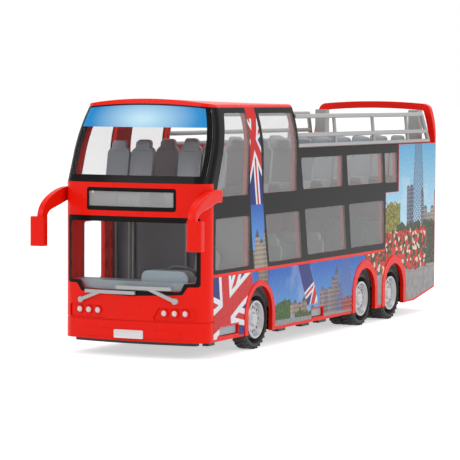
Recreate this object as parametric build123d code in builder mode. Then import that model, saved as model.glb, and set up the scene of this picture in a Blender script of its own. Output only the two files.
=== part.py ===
from build123d import *
from math import acos, asin, atan2, cos, degrees, hypot, sin, sqrt
import os

# Toy double-decker tour bus with an open upper deck, in millimetres.
# Z is up, the front faces -Y, and +X is the driver's side, the bus's own left.
# The origin is on the ground, under the middle of the whole toy with its mirrors.
# Places along the bus are distances back from the middle of its nose, and heights are above the ground.

# Body
body_length = 280.0
body_width = 71.4
wall = 2.6
glass = 0.8
skirt_height = 7.5
nose_radius = 165.0
nose_corner = 7.0
tail_corner = 3.4
mask_depth = 10.8
mask_top = 76.7
tail_depth = 6.0
sill_height = 90.3

# Canopy over the front of the upper deck
canopy_end = 100.0
lean_start = 88.0
lean_radius = 63.0
eave_height = 109.6
eave_arch = 1.7
eave_radius = 2.4
roof_corner_height = 111.0
roof_crown_front = 113.8
roof_crown_rear = 111.4
screen_rake = 13.65
screen_height = eave_height - mask_top
screen_wrap = 11.6

# Rear hoop
hoop_crown = 112.2
hoop_corner = 110.7
hoop_radius = 4.5
hoop_depth = 4.0
hoop_beam = 3.6

# Wheels and arches
tyre_radius = 13.5
tyre_width = 7.0
tyre_face = 33.8
tyre_groove = 0.8
hub_radius = 8.6
axle_radius = 1.5
bearing_clearance = 0.1
arch_radius = 12.6
arch_top = 28.9
arch_lip = 0.5
arch_pocket = 14.9
arch_skin = 1.4

# Decks and floor pan
chassis_bottom = 7.6
chassis_thickness = 1.4
fit = 0.2
floor_height = 19.6
floor_thickness = 1.6
deck_height = 65.4
deck_thickness = 1.8
tub_radius = 15.6
tub_wall = 1.0

# Mirrors
mirror_out = 38.6
mirror_forward = 12.15
mirror_width = 7.0
mirror_depth = 5.0
mirror_bottom = 48.6
mirror_tall = 13.0
mirror_arm = 3.2

# Worked out from the sizes above
half = body_width / 2
mirror_reach = mirror_forward + mirror_depth / 2
front = (mirror_reach - body_length) / 2
nose_back = nose_radius - sqrt(nose_radius**2 - half**2)
rake = screen_rake / screen_height
tail_start = body_length - tail_depth
inside = half - wall

# Axles: name, distance from the nose, half width and top of the arch's lip, tyres on each side
axles = [
    ("front", 58.0, 16.0, 31.4, 1),
    ("middle", 180.6, 16.3, 33.1, 2),
    ("rear", 218.9, 16.3, 33.1, 2),
]

# Side windows: low edge, high edge, then front and rear ends of the low edge and of the high edge
lower_windows = [
    (38.7, 61.3, 12.9, 47.0, 12.9, 47.0),
    (38.9, 61.0, 68.0, 104.1, 63.5, 100.9),
    (39.8, 61.7, 111.0, 157.1, 107.0, 153.8),
    (40.0, 61.9, 162.8, 205.6, 159.7, 204.8),
]
upper_windows = [
    (70.7, 107.2, 12.9, 45.0, 26.3, 48.0),
    (70.7, 107.0, 61.5, 97.4, 61.3, 97.2),
    (71.0, 85.9, 105.2, 151.4, 102.3, 151.1),
    (71.0, 86.0, 158.5, 203.7, 156.4, 201.8),
    (70.7, 86.0, 206.7, 223.0, 205.2, 221.6),
]
band_bottom = 37.0
band_step = (207.0, 65.9)
band_end = 224.2

# Doors on the kerb side: name, front and rear edge of the opening, then its sill and head
doors = [
    ("front_door", 14.5, 40.0, 11.0, 61.6),
    ("middle_door", 109.5, 135.0, 11.0, 61.6),
]
door_gap = 0.4
door_thickness = 2.0
door_frame = 1.8
door_jamb = 1.6
hinge_pin = 0.5
hinge_clearance = 0.1
pin_length = 1.4
kerb_window = (39.8, 61.7, 138.6, 157.1, 138.6, 153.8)


def plan(height):
    return Plane(origin=(0, front, height))


def across(distance):
    return Plane(origin=(0, front + distance, 0), x_dir=(1, 0, 0), z_dir=(0, -1, 0))


def side(offset):
    return Plane(origin=(offset, front, 0), x_dir=(0, 1, 0), z_dir=(1, 0, 0))


def body_plan(inset, width=half, setback=0.0):
    """Outline seen from above: a bowed nose, rounded corners and a straight tail."""
    out = width - inset
    back = setback + nose_radius - sqrt((nose_radius - inset) ** 2 - out**2)
    tail = body_length - inset
    with BuildSketch() as outline:
        with BuildLine():
            ThreePointArc((-out, back), (0, setback + inset), (out, back))
            Polyline((out, back), (out, tail), (-out, tail), (-out, back))
        make_face()
        fillet(outline.vertices().group_by(Axis.Y)[0], nose_corner - inset)
        fillet(outline.vertices().group_by(Axis.Y)[-1], max(tail_corner - inset, 0.1))
    return outline.sketch


def body_section(inset, crown, corner, radius):
    """Outline seen from the front: upright sides that lean in by an arc, and a domed roof."""
    # The dome is a wide arc through the crown and the two roof corners
    lean = asin((corner - lean_start) / lean_radius)
    corner_out = half - lean_radius * (1 - cos(lean))
    sag = crown - corner
    dome_radius = (corner_out**2 + sag**2) / (2 * sag)
    # Set in, each arc keeps its centre, and the two still meet at a corner
    side_arc = lean_radius - inset
    dome_arc = dome_radius - inset
    across_centres = lean_radius - half
    down_centres = crown - dome_radius - lean_start
    apart = hypot(across_centres, down_centres)
    bearing = atan2(down_centres, across_centres)
    turn = acos((side_arc**2 + apart**2 - dome_arc**2) / (2 * side_arc * apart))
    lean = bearing + turn
    corner_out = half - lean_radius + side_arc * cos(lean)
    corner_height = lean_start + side_arc * sin(lean)
    with BuildSketch() as outline:
        with BuildLine():
            CenterArc((half - lean_radius, lean_start), side_arc, 0, degrees(lean))
            ThreePointArc(
                (corner_out, corner_height),
                (0, crown - inset),
                (-corner_out, corner_height),
            )
            CenterArc((lean_radius - half, lean_start), side_arc, 180, -degrees(lean))
            Polyline(
                (inset - half, lean_start),
                (inset - half, 0),
                (half - inset, 0),
                (half - inset, lean_start),
            )
        make_face()
        corners = outline.vertices().filter_by(lambda v: abs(v.Y - corner_height) < 0.1)
        fillet(corners, max(radius - inset, 0.5))
    return outline.sketch


def window_outline(row, grow=0.0):
    """Corners of a side window, from its low front corner round to its high front corner."""
    low, high, low_front, low_rear, high_front, high_rear = row
    return [
        (low_front - grow, low - grow),
        (low_rear + grow, low - grow),
        (high_rear + grow, high + grow),
        (high_front - grow, high + grow),
    ]


def screen_line(height):
    """Rear edge of the wrapped windscreen, which rakes back as it rises."""
    return screen_wrap + rake * (height - mask_top)


def side_band(thickness):
    """One upright side from skirt to eave, as thick as asked, in from the outer skin."""
    lean = degrees(asin((eave_height - lean_start) / lean_radius))
    with BuildSketch() as band:
        with BuildLine():
            outer = CenterArc((half - lean_radius, lean_start), lean_radius, 0, lean)
            inner = CenterArc((half - lean_radius, lean_start), lean_radius - thickness, 0, lean)
            Line(outer @ 1, inner @ 1)
            Polyline(
                inner @ 0,
                (half - thickness, skirt_height),
                (half, skirt_height),
                outer @ 0,
            )
        make_face()
    return band.sketch


def glazing_outline():
    """Outline of the flush side glazing, from the nose corner to its stepped rear end."""
    step_back, step_height = band_step
    return [
        (mask_depth, band_bottom),
        (step_back, band_bottom),
        (step_back, step_height),
        (band_end, step_height),
        (band_end, sill_height),
        (canopy_end, sill_height),
        (canopy_end, eave_height),
        (screen_line(eave_height), eave_height),
        (screen_line(mask_top), mask_top),
        (mask_depth, mask_top),
    ]


def arch_outline(distance, half_width, top):
    """Upright sides and a half-round top, open below the skirt."""
    spring = top - half_width
    with BuildSketch(mode=Mode.PRIVATE) as arch:
        with Locations((distance, spring)):
            Circle(half_width)
        with Locations((distance, spring / 2)):
            Rectangle(2 * half_width, spring)
        with Locations((distance, -half_width)):
            Rectangle(4 * half_width, 2 * half_width, mode=Mode.SUBTRACT)
    return arch.sketch


# Side glazing: one flush sheet a side, clear where the windows are
with BuildPart() as left_glazing:
    with BuildSketch(across(mask_depth)):
        add(side_band(glass))
    extrude(amount=-(band_end - mask_depth))
    with BuildSketch(side(0)):
        Polygon(*glazing_outline(), align=None)
    extrude(amount=body_width, mode=Mode.INTERSECT)
left_glazing.part.label = "left_glazing"

with BuildPart() as right_glazing:
    add(mirror(left_glazing.part, about=Plane.YZ))
    with BuildSketch(side(-half - 1)):
        for name, opening_front, opening_rear, sill, head in doors:
            with Locations(((opening_front + opening_rear) / 2, (sill + head) / 2)):
                Rectangle(opening_rear - opening_front, head - sill)
    extrude(amount=wall + 2, mode=Mode.SUBTRACT)
right_glazing.part.label = "right_glazing"


# Side walls: windows, wheel arches with a raised lip, and a pocket behind each for the tyre
with BuildPart() as side_shell:
    with BuildSketch(across(mask_depth)):
        add(side_band(wall))
    extrude(amount=-(tail_start - mask_depth))
    with BuildSketch(side(half)):
        for name, distance, lip_half, lip_top, tyres in axles:
            add(arch_outline(distance, lip_half, lip_top))
        with Locations((body_length / 2, skirt_height / 2)):
            Rectangle(body_length, skirt_height, mode=Mode.SUBTRACT)
    extrude(amount=arch_lip)
    chamfer(side_shell.faces().sort_by(Axis.X)[-3:].edges().filter_by(GeomType.CIRCLE), 0.3)
    with BuildSketch(side(0)):
        for name, distance, lip_half, lip_top, tyres in axles:
            add(arch_outline(distance, arch_radius, arch_top))
    extrude(amount=body_width, mode=Mode.SUBTRACT)
    with BuildSketch(side(0)):
        for name, distance, lip_half, lip_top, tyres in axles:
            add(arch_outline(distance, arch_pocket, arch_top + arch_pocket - arch_radius))
    extrude(amount=half - arch_skin, mode=Mode.SUBTRACT)
    with BuildSketch(side(0)):
        # Above the sill, behind the canopy, the deck is open
        Polygon(
            (canopy_end, sill_height),
            (body_length, sill_height),
            (body_length, eave_height + 5),
            (canopy_end, eave_height + 5),
            align=None,
        )
        # The canopy's front edge rakes back with the windscreen
        Polygon(
            (0, mask_top),
            (screen_line(mask_top), mask_top),
            (screen_line(eave_height + 5), eave_height + 5),
            (0, eave_height + 5),
            align=None,
        )
        # The skirt rises towards the tail
        Polygon((247, skirt_height), (body_length + 1, skirt_height), (body_length + 1, 13.2), align=None)
    extrude(amount=body_width, mode=Mode.SUBTRACT)
    with BuildSketch(side(0)) as upper_cuts:
        for row in upper_windows:
            Polygon(*window_outline(row), align=None)
        fillet(upper_cuts.vertices(), 1.2)
    extrude(amount=body_width, mode=Mode.SUBTRACT)
side_shell.part.label = "side_shell"

# Recess for the two floor clips, low on the driver's side: front and rear edge
clips = [(17.7, 35.8), (115.6, 129.0)]
clip_low = 9.4
clip_high = 13.6

with BuildPart() as left_side:
    add(side_shell.part)
    add(left_glazing.part, mode=Mode.SUBTRACT)
    with BuildSketch(side(0)) as cuts:
        for row in lower_windows:
            Polygon(*window_outline(row), align=None)
        fillet(cuts.vertices(), 1.2)
    extrude(amount=body_width, mode=Mode.SUBTRACT)
    with BuildSketch(side(0)):
        for clip_front, clip_rear in clips:
            with Locations(((clip_front + clip_rear) / 2, (clip_low + clip_high) / 2)):
                Rectangle(clip_rear - clip_front, clip_high - clip_low)
    extrude(amount=body_width, mode=Mode.SUBTRACT)
left_side.part.label = "left_side"

with BuildPart() as right_side:
    add(mirror(side_shell.part, about=Plane.YZ))
    # Thick jambs round each doorway carry the hinges
    for name, opening_front, opening_rear, sill, head in doors:
        with BuildSketch(side(-inside)):
            with Locations(((opening_front + opening_rear) / 2, (sill + head) / 2)):
                Rectangle(
                    opening_rear - opening_front + 2 * door_frame,
                    head - sill + 2 * door_frame,
                )
        extrude(amount=door_jamb)
    add(right_glazing.part, mode=Mode.SUBTRACT)
    with BuildSketch(side(-half - 1)) as cuts:
        for row in [lower_windows[1], kerb_window, lower_windows[3]]:
            Polygon(*window_outline(row), align=None)
        fillet(cuts.vertices(), 1.2)
    extrude(amount=wall + 2, mode=Mode.SUBTRACT)
    with BuildSketch(side(-half - 1)):
        for name, opening_front, opening_rear, sill, head in doors:
            with Locations(((opening_front + opening_rear) / 2, (sill + head) / 2)):
                Rectangle(opening_rear - opening_front, head - sill)
    extrude(amount=wall + door_jamb + 2, mode=Mode.SUBTRACT)
    # Holes for the hinge pins, above the head and below the sill
    hinge_out = half - glass - door_thickness / 2
    for name, opening_front, opening_rear, sill, head in doors:
        hinge_back = opening_front + door_gap + door_thickness / 2
        with BuildSketch(plan(sill - pin_length - door_gap)):
            with Locations((-hinge_out, hinge_back)):
                Circle(hinge_pin + hinge_clearance)
        extrude(amount=head - sill + 2 * (pin_length + door_gap), mode=Mode.SUBTRACT)
right_side.part.label = "right_side"


# Doors: a framed leaf whose front edge is the hinge barrel, with a pin at each end
door_leaves = []
for name, opening_front, opening_rear, sill, head in doors:
    hinge_back = opening_front + door_gap + door_thickness / 2
    leaf_rear = opening_rear - door_gap
    leaf_low = sill + door_gap
    leaf_high = head - door_gap
    panes = [(leaf_low + 3.2, leaf_low + 17.0), (leaf_low + 20.0, leaf_high - 3.2)]
    with BuildPart() as leaf:
        with BuildSketch(plan(leaf_low)):
            with Locations((-hinge_out, hinge_back)):
                Circle(door_thickness / 2)
            with Locations((-hinge_out, (hinge_back + leaf_rear) / 2)):
                Rectangle(door_thickness, leaf_rear - hinge_back)
        extrude(amount=leaf_high - leaf_low)
        with BuildSketch(plan(leaf_low - pin_length)):
            with Locations((-hinge_out, hinge_back)):
                Circle(hinge_pin)
        extrude(amount=leaf_high - leaf_low + 2 * pin_length)
        with BuildSketch(side(-half - 1)) as pane_cuts:
            for pane_low, pane_high in panes:
                with Locations(((hinge_back + 2.2 + leaf_rear - 2.8) / 2, (pane_low + pane_high) / 2)):
                    Rectangle(leaf_rear - 2.8 - hinge_back - 2.2, pane_high - pane_low)
            fillet(pane_cuts.vertices(), 1.4)
        extrude(amount=wall + 3, mode=Mode.SUBTRACT)
    leaf.part.label = name
    with BuildPart() as leaf_glass:
        with BuildSketch(side(-hinge_out - glass / 2)) as pane_shapes:
            for pane_low, pane_high in panes:
                with Locations(((hinge_back + 2.2 + leaf_rear - 2.8) / 2, (pane_low + pane_high) / 2)):
                    Rectangle(leaf_rear - 2.8 - hinge_back - 2.2, pane_high - pane_low)
            fillet(pane_shapes.vertices(), 1.4)
        extrude(amount=glass)
    leaf_glass.part.label = name + "_glass"
    door_leaves += [leaf, leaf_glass]


# Nose: windscreen and sight-glass, both flush, lamp panels, and a bumper with a crease and a raised field
screen_outline = [
    (-33.0, 62.0),
    (33.0, 62.0),
    (33.0, 31.9),
    (27.6, 31.9),
    (25.2, 28.4),
    (0, 27.2),
    (-25.2, 28.4),
    (-27.6, 31.9),
    (-33.0, 31.9),
]
screen_rim = 1.6
sight_width = 44.4
sight_low = 64.4
sight_high = 74.5
lamp_height = 20.2
lamp_places = [16.5, 21.4, 26.3]
lamp_radius = 1.9
lamp_panel = [(11.0, 16.9), (31.6, 16.9), (31.6, 22.5), (14.0, 22.5)]
crease_height = 16.4
crease_size = 0.5
bumper_field = [(-25.6, 9.0), (-23.3, 12.6), (23.3, 12.6), (25.6, 9.0)]
bumper_relief = 0.4

with BuildPart() as nose_skin:
    with BuildSketch(plan(skirt_height)):
        add(body_plan(0))
        add(body_plan(glass), mode=Mode.SUBTRACT)
        with Locations((0, mask_depth / 2)):
            Rectangle(body_width, mask_depth, mode=Mode.INTERSECT)
    extrude(amount=mask_top - skirt_height)

with BuildPart() as lower_windscreen:
    add(nose_skin.part)
    with BuildSketch(across(0)) as screen_shape:
        Polygon(*screen_outline, align=None)
        fillet(screen_shape.vertices(), 1.4)
    extrude(amount=-mask_depth, mode=Mode.INTERSECT)
lower_windscreen.part.label = "lower_windscreen"

with BuildPart() as sight_glass:
    add(nose_skin.part)
    with BuildSketch(across(0)):
        with Locations((0, (sight_low + sight_high) / 2)):
            RectangleRounded(sight_width, sight_high - sight_low, 1.2)
    extrude(amount=-mask_depth, mode=Mode.INTERSECT)
sight_glass.part.label = "destination_window"

with BuildPart() as lamp_recess:
    add(nose_skin.part)
    with BuildSketch(across(0)) as recess_shape:
        for hand in (-1, 1):
            Polygon(*[(hand * out, height) for out, height in lamp_panel], align=None)
        fillet(recess_shape.vertices(), 1.0)
    extrude(amount=-mask_depth, mode=Mode.INTERSECT)

with BuildPart() as raised_field:
    with BuildSketch(plan(skirt_height)):
        add(body_plan(-bumper_relief))
        add(body_plan(crease_size), mode=Mode.SUBTRACT)
    extrude(amount=lamp_height - skirt_height)
    with BuildSketch(across(-5)):
        Polygon(*bumper_field, align=None)
    extrude(amount=-mask_depth, mode=Mode.INTERSECT)

with BuildPart() as front_mask:
    with BuildSketch(plan(skirt_height)):
        add(body_plan(0))
        add(body_plan(wall), mode=Mode.SUBTRACT)
        with Locations((0, mask_depth / 2)):
            Rectangle(body_width, mask_depth, mode=Mode.INTERSECT)
    extrude(amount=mask_top - skirt_height)
    add(lower_windscreen.part, mode=Mode.SUBTRACT)
    add(sight_glass.part, mode=Mode.SUBTRACT)
    add(lamp_recess.part, mode=Mode.SUBTRACT)
    with BuildSketch(plan(crease_height - crease_size / 2)):
        add(body_plan(0))
        add(body_plan(crease_size), mode=Mode.SUBTRACT)
        with Locations((0, mask_depth / 2)):
            Rectangle(body_width, mask_depth, mode=Mode.INTERSECT)
    extrude(amount=crease_size, mode=Mode.SUBTRACT)
    add(raised_field.part)
    with BuildSketch(across(0)) as screen_hole:
        Polygon(*screen_outline, align=None)
        fillet(screen_hole.vertices(), 1.4)
        offset(amount=-screen_rim)
    extrude(amount=-mask_depth, mode=Mode.SUBTRACT)
    with BuildSketch(across(0)):
        with Locations((0, (sight_low + sight_high) / 2)):
            Rectangle(sight_width - 2.2, sight_high - sight_low - 3.4)
    extrude(amount=-mask_depth, mode=Mode.SUBTRACT)
    with BuildSketch(across(0)):
        for hand in (-1, 1):
            for place in lamp_places:
                with Locations((hand * place, lamp_height)):
                    Circle(lamp_radius)
    extrude(amount=-mask_depth, mode=Mode.SUBTRACT)
front_mask.part.label = "front_mask"

with BuildPart() as headlamps:
    for hand in (-1, 1):
        for place in lamp_places:
            lamp_back = place**2 / (2 * nose_radius)
            with BuildSketch(across(lamp_back + wall)):
                with Locations((hand * place, lamp_height)):
                    Circle(lamp_radius)
            extrude(amount=wall - 0.2)
headlamps.part.label = "headlamps"


# Upper windscreen: raked, bowed and wrapped round both corners, in clear plastic
def canopy_front(inset, over=0.0):
    """Solid front of the canopy below its arched eaves, set in from its outer skin."""
    lean = degrees(asin((eave_height + over - lean_start) / lean_radius))
    slope = sqrt(1 + rake**2)
    with BuildPart(mode=Mode.PRIVATE) as block:
        with BuildSketch(across(-5)):
            with BuildLine():
                right = CenterArc((half - lean_radius, lean_start), lean_radius - inset, 0, lean)
                left = CenterArc((lean_radius - half, lean_start), lean_radius - inset, 180, -lean)
                ThreePointArc(right @ 1, (0, eave_height + eave_arch + over), left @ 1)
                Polyline(
                    left @ 0, (-half + inset, mask_top), (half - inset, mask_top), right @ 0
                )
            make_face()
        extrude(amount=-50)
        with BuildSketch(plan(mask_top)):
            with BuildLine():
                bow = ThreePointArc(
                    (-half, nose_back + inset * slope),
                    (0, inset * slope),
                    (half, nose_back + inset * slope),
                )
                Polyline(bow @ 1, (half, 60), (-half, 60), bow @ 0)
            make_face()
        raked = (screen_height + eave_arch + over + 1) * slope
        extrude(amount=raked, dir=(0, rake, 1), mode=Mode.INTERSECT)
        corners = block.edges().filter_by(
            lambda e: e.bounding_box().size.Z > 5 and e.center().Y < front + 25
        )
        fillet(corners, nose_corner - inset)
    return block.part


with BuildPart() as upper_windscreen:
    add(canopy_front(0))
    add(canopy_front(1.2, 2.5), mode=Mode.SUBTRACT)
    with BuildSketch(side(-half)):
        Polygon(
            (0, mask_top),
            (screen_line(mask_top), mask_top),
            (screen_line(eave_height + 5), eave_height + 5),
            (0, eave_height + 5),
            align=None,
        )
    extrude(amount=body_width, mode=Mode.INTERSECT)
upper_windscreen.part.label = "upper_windscreen"


# Roof over the front of the upper deck, with a closed brow above the windscreen
lean_at_eave = asin((eave_height - lean_start) / lean_radius)
eave_half = half - lean_radius * (1 - cos(lean_at_eave))


with BuildPart() as roof_hollow:
    with BuildSketch(across(0)):
        add(body_section(wall, roof_crown_front, roof_corner_height, eave_radius))
    with BuildSketch(across(canopy_end)):
        add(body_section(wall, roof_crown_rear, roof_corner_height, eave_radius))
    loft()
    with BuildSketch(plan(0)):
        with Locations((0, screen_rake + 7 + canopy_end / 2)):
            Rectangle(body_width, canopy_end)
    extrude(amount=roof_crown_front, mode=Mode.INTERSECT)

with BuildPart() as roof:
    # The dome flattens towards the rear
    with BuildSketch(across(0)):
        add(body_section(0, roof_crown_front, roof_corner_height, eave_radius))
    with BuildSketch(across(canopy_end)):
        add(body_section(0, roof_crown_rear, roof_corner_height, eave_radius))
    loft()
    with BuildSketch(plan(eave_height - 1)):
        add(body_plan(0, eave_half, screen_rake - rake))
        with Locations((0, canopy_end / 2)):
            Rectangle(body_width, canopy_end, mode=Mode.INTERSECT)
    extrude(amount=8, dir=(0, rake, 1), mode=Mode.INTERSECT)
    with BuildSketch(plan(0)):
        with Locations((0, canopy_end / 2)):
            Rectangle(body_width, 2 * canopy_end)
    extrude(amount=eave_height, mode=Mode.SUBTRACT)
    add(roof_hollow.part, mode=Mode.SUBTRACT)
    # Over the windscreen the eave rises in an arc
    with BuildSketch(across(-5)):
        with BuildLine():
            brow = ThreePointArc(
                (-eave_half, eave_height),
                (0, eave_height + eave_arch),
                (eave_half, eave_height),
            )
            Line(brow @ 1, brow @ 0)
        make_face()
    extrude(amount=-(screen_line(eave_height) + 5), mode=Mode.SUBTRACT)
roof.part.label = "roof"


# Tail: rear wall with window, louvred engine cover, lamps and a blank number panel
tail_window = (-24.0, 24.0, 69.0, 85.0)
cover_width = 42.0
cover_low = 20.0
cover_high = 47.0
louvres = 7
tail_lamp_rows = [22.0, 28.0, 34.0]
tail_lamp_out = 27.0
tail_lamp_radius = 2.2

with BuildPart() as rear_window:
    with BuildSketch(across(body_length)):
        with Locations((0, (tail_window[2] + tail_window[3]) / 2)):
            RectangleRounded(tail_window[1] - tail_window[0], tail_window[3] - tail_window[2], 2)
    extrude(amount=glass)
rear_window.part.label = "rear_window"

with BuildPart() as rear_panel:
    with BuildSketch(plan(skirt_height)):
        add(body_plan(0))
        add(body_plan(wall), mode=Mode.SUBTRACT)
        with Locations((0, tail_start + body_length / 2)):
            Rectangle(body_width, body_length, mode=Mode.INTERSECT)
    extrude(amount=sill_height - skirt_height)
    with BuildSketch(side(-half)):
        Polygon((247, skirt_height), (body_length + 1, skirt_height), (body_length + 1, 13.2), align=None)
    extrude(amount=body_width, mode=Mode.SUBTRACT)
    add(rear_window.part, mode=Mode.SUBTRACT)
    with BuildSketch(across(body_length)):
        with Locations((0, (tail_window[2] + tail_window[3]) / 2)):
            Rectangle(tail_window[1] - tail_window[0] - 3, tail_window[3] - tail_window[2] - 3)
    extrude(amount=wall + 1, mode=Mode.SUBTRACT)
    with BuildSketch(across(body_length)):
        for hand in (-1, 1):
            for height in tail_lamp_rows:
                with Locations((hand * tail_lamp_out, height)):
                    Circle(tail_lamp_radius)
    extrude(amount=wall + 1, mode=Mode.SUBTRACT)
    with BuildSketch(across(body_length)):
        with Locations((0, (cover_low + cover_high) / 2)):
            RectangleRounded(cover_width, cover_high - cover_low, 2)
            RectangleRounded(cover_width - 1.6, cover_high - cover_low - 1.6, 1.4, mode=Mode.SUBTRACT)
    extrude(amount=0.6, mode=Mode.SUBTRACT)
    with BuildSketch(across(body_length)):
        with Locations((0, (cover_low + cover_high) / 2)):
            with GridLocations(0, 3.2, 1, louvres):
                SlotOverall(cover_width - 8, 1.6)
    extrude(amount=wall + 1, mode=Mode.SUBTRACT)
rear_panel.part.label = "rear_panel"

with BuildPart() as tail_lamps:
    with BuildSketch(across(body_length)):
        for hand in (-1, 1):
            for height in tail_lamp_rows:
                with Locations((hand * tail_lamp_out, height)):
                    Circle(tail_lamp_radius)
    extrude(amount=wall)
tail_lamps.part.label = "tail_lamps"

with BuildPart() as rear_hoop:
    with BuildSketch(across(body_length)):
        add(body_section(0, hoop_crown, hoop_corner, hoop_radius))
        add(body_section(hoop_beam, hoop_crown, hoop_corner, hoop_radius), mode=Mode.SUBTRACT)
        with Locations((0, sill_height + 20)):
            Rectangle(body_width, 40, mode=Mode.INTERSECT)
    extrude(amount=hoop_depth)
    with BuildSketch(plan(sill_height)):
        add(body_plan(0))
    extrude(amount=40, mode=Mode.INTERSECT)
rear_hoop.part.label = "rear_hoop"

with BuildPart() as hoop_pillars:
    with BuildSketch(plan(deck_height)):
        for hand in (-1, 1):
            with Locations((hand * 27.2, body_length - 11.5)):
                RectangleRounded(6.0, 7.0, 1.0)
    extrude(amount=107.6 - deck_height)
hoop_pillars.part.label = "hoop_pillars"


# Railings along the open deck: three rails on raked posts that lean in a little
rail_radius = 1.1
rail_heights = [sill_height + rail_radius, 96.5, 105.4]
rail_lean = 1.3
rail_out = half - rail_radius - 0.4
rail_end = 269.6
post_places = [146.4, 194.6, 240.2]
post_radius = 0.9


def rail_x(height):
    return rail_out - rail_lean * (height - rail_heights[0]) / (rail_heights[2] - rail_heights[0])


with BuildPart() as left_railing:
    for height in rail_heights:
        rail_rear = rail_end - 0.5 * (height - rail_heights[0])
        with BuildSketch(across(canopy_end)):
            with Locations((rail_x(height), height)):
                Circle(rail_radius)
        extrude(amount=-(rail_rear - canopy_end))
    low, high = rail_heights[0], rail_heights[2]
    for place in post_places:
        with BuildLine() as post_line:
            Line(
                (rail_x(low), front + place, low),
                (rail_x(high), front + place, high),
            )
        with BuildSketch(Plane(origin=post_line.line @ 0, z_dir=post_line.line % 0)):
            Circle(post_radius)
        sweep(path=post_line.line)
    with BuildLine() as end_line:
        Line(
            (rail_x(low), front + rail_end, low),
            (rail_x(high), front + rail_end - 0.5 * (high - low), high),
        )
    with BuildSketch(Plane(origin=end_line.line @ 0, z_dir=end_line.line % 0)):
        Circle(rail_radius)
    sweep(path=end_line.line)
left_railing.part.label = "left_railing"

with BuildPart() as right_railing:
    add(mirror(left_railing.part, about=Plane.YZ))
right_railing.part.label = "right_railing"


# Decks and floor pan
with BuildPart() as upper_deck:
    with BuildSketch(plan(deck_height - deck_thickness)):
        add(body_plan(wall))
    extrude(amount=deck_thickness)
upper_deck.part.label = "upper_deck"

with BuildPart() as lower_floor:
    with BuildSketch(plan(floor_height - floor_thickness)):
        add(body_plan(wall + fit))
        for name, opening_front, opening_rear, sill, head in doors:
            with Locations((-inside, (opening_front + opening_rear) / 2)):
                Rectangle(
                    2 * (door_jamb + fit),
                    opening_rear - opening_front + 2 * (door_frame + fit),
                    mode=Mode.SUBTRACT,
                )
    extrude(amount=floor_thickness)
    # Tubs over the tyres stand up through the floor
    for name, distance, lip_half, lip_top, tyres in axles:
        tub_inner = tyre_face - tyres * tyre_width - 2.0
        for hand in (-1, 1):
            with BuildSketch(side(hand * tub_inner)):
                add(arch_outline(distance, tub_radius + tub_wall, tyre_radius + tub_radius + tub_wall))
                with Locations((distance, (floor_height - floor_thickness) / 2)):
                    Rectangle(100, floor_height - floor_thickness, mode=Mode.SUBTRACT)
            extrude(amount=hand * (inside - fit - tub_inner))
    for name, distance, lip_half, lip_top, tyres in axles:
        tub_inner = tyre_face - tyres * tyre_width - 2.0
        for hand in (-1, 1):
            with BuildSketch(side(hand * (tub_inner + tub_wall))):
                add(arch_outline(distance, tub_radius, tyre_radius + tub_radius))
            extrude(amount=hand * 30, mode=Mode.SUBTRACT)
    # Clips hang from the floor and snap into the driver's side
    for clip_front, clip_rear in clips:
        with BuildSketch(side(inside - fit - 1.4)):
            with Locations(((clip_front + clip_rear) / 2, (clip_low + floor_height) / 2)):
                Rectangle(clip_rear - clip_front - 0.6, floor_height - clip_low - 0.6)
        extrude(amount=1.4)
        with BuildSketch(side(inside - fit)):
            with Locations(((clip_front + clip_rear) / 2, (clip_low + clip_high) / 2)):
                Rectangle(clip_rear - clip_front - 0.6, clip_high - clip_low - 0.6)
        extrude(amount=wall - 1.0)
lower_floor.part.label = "lower_floor"

# Screw posts join the chassis to the floor: out from the middle, distance from the nose
tail_inside = body_length - wall - fit
tail_rise = 5.4
screw_out = 11.0
screw_places = [30.0, 240.0]
screw_hole = 1.6
screw_post = 3.6
bearing_out = 14.5
bearing_thick = 3.0
lip_drop = 1.6
lip_width = 2.4
foot_drop = 2.0
foot_width = 3.0
feet = [(12.0, 18.0), (84.0, 92.0), (110.0, 119.0), (130.0, 139.0)]

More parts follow.
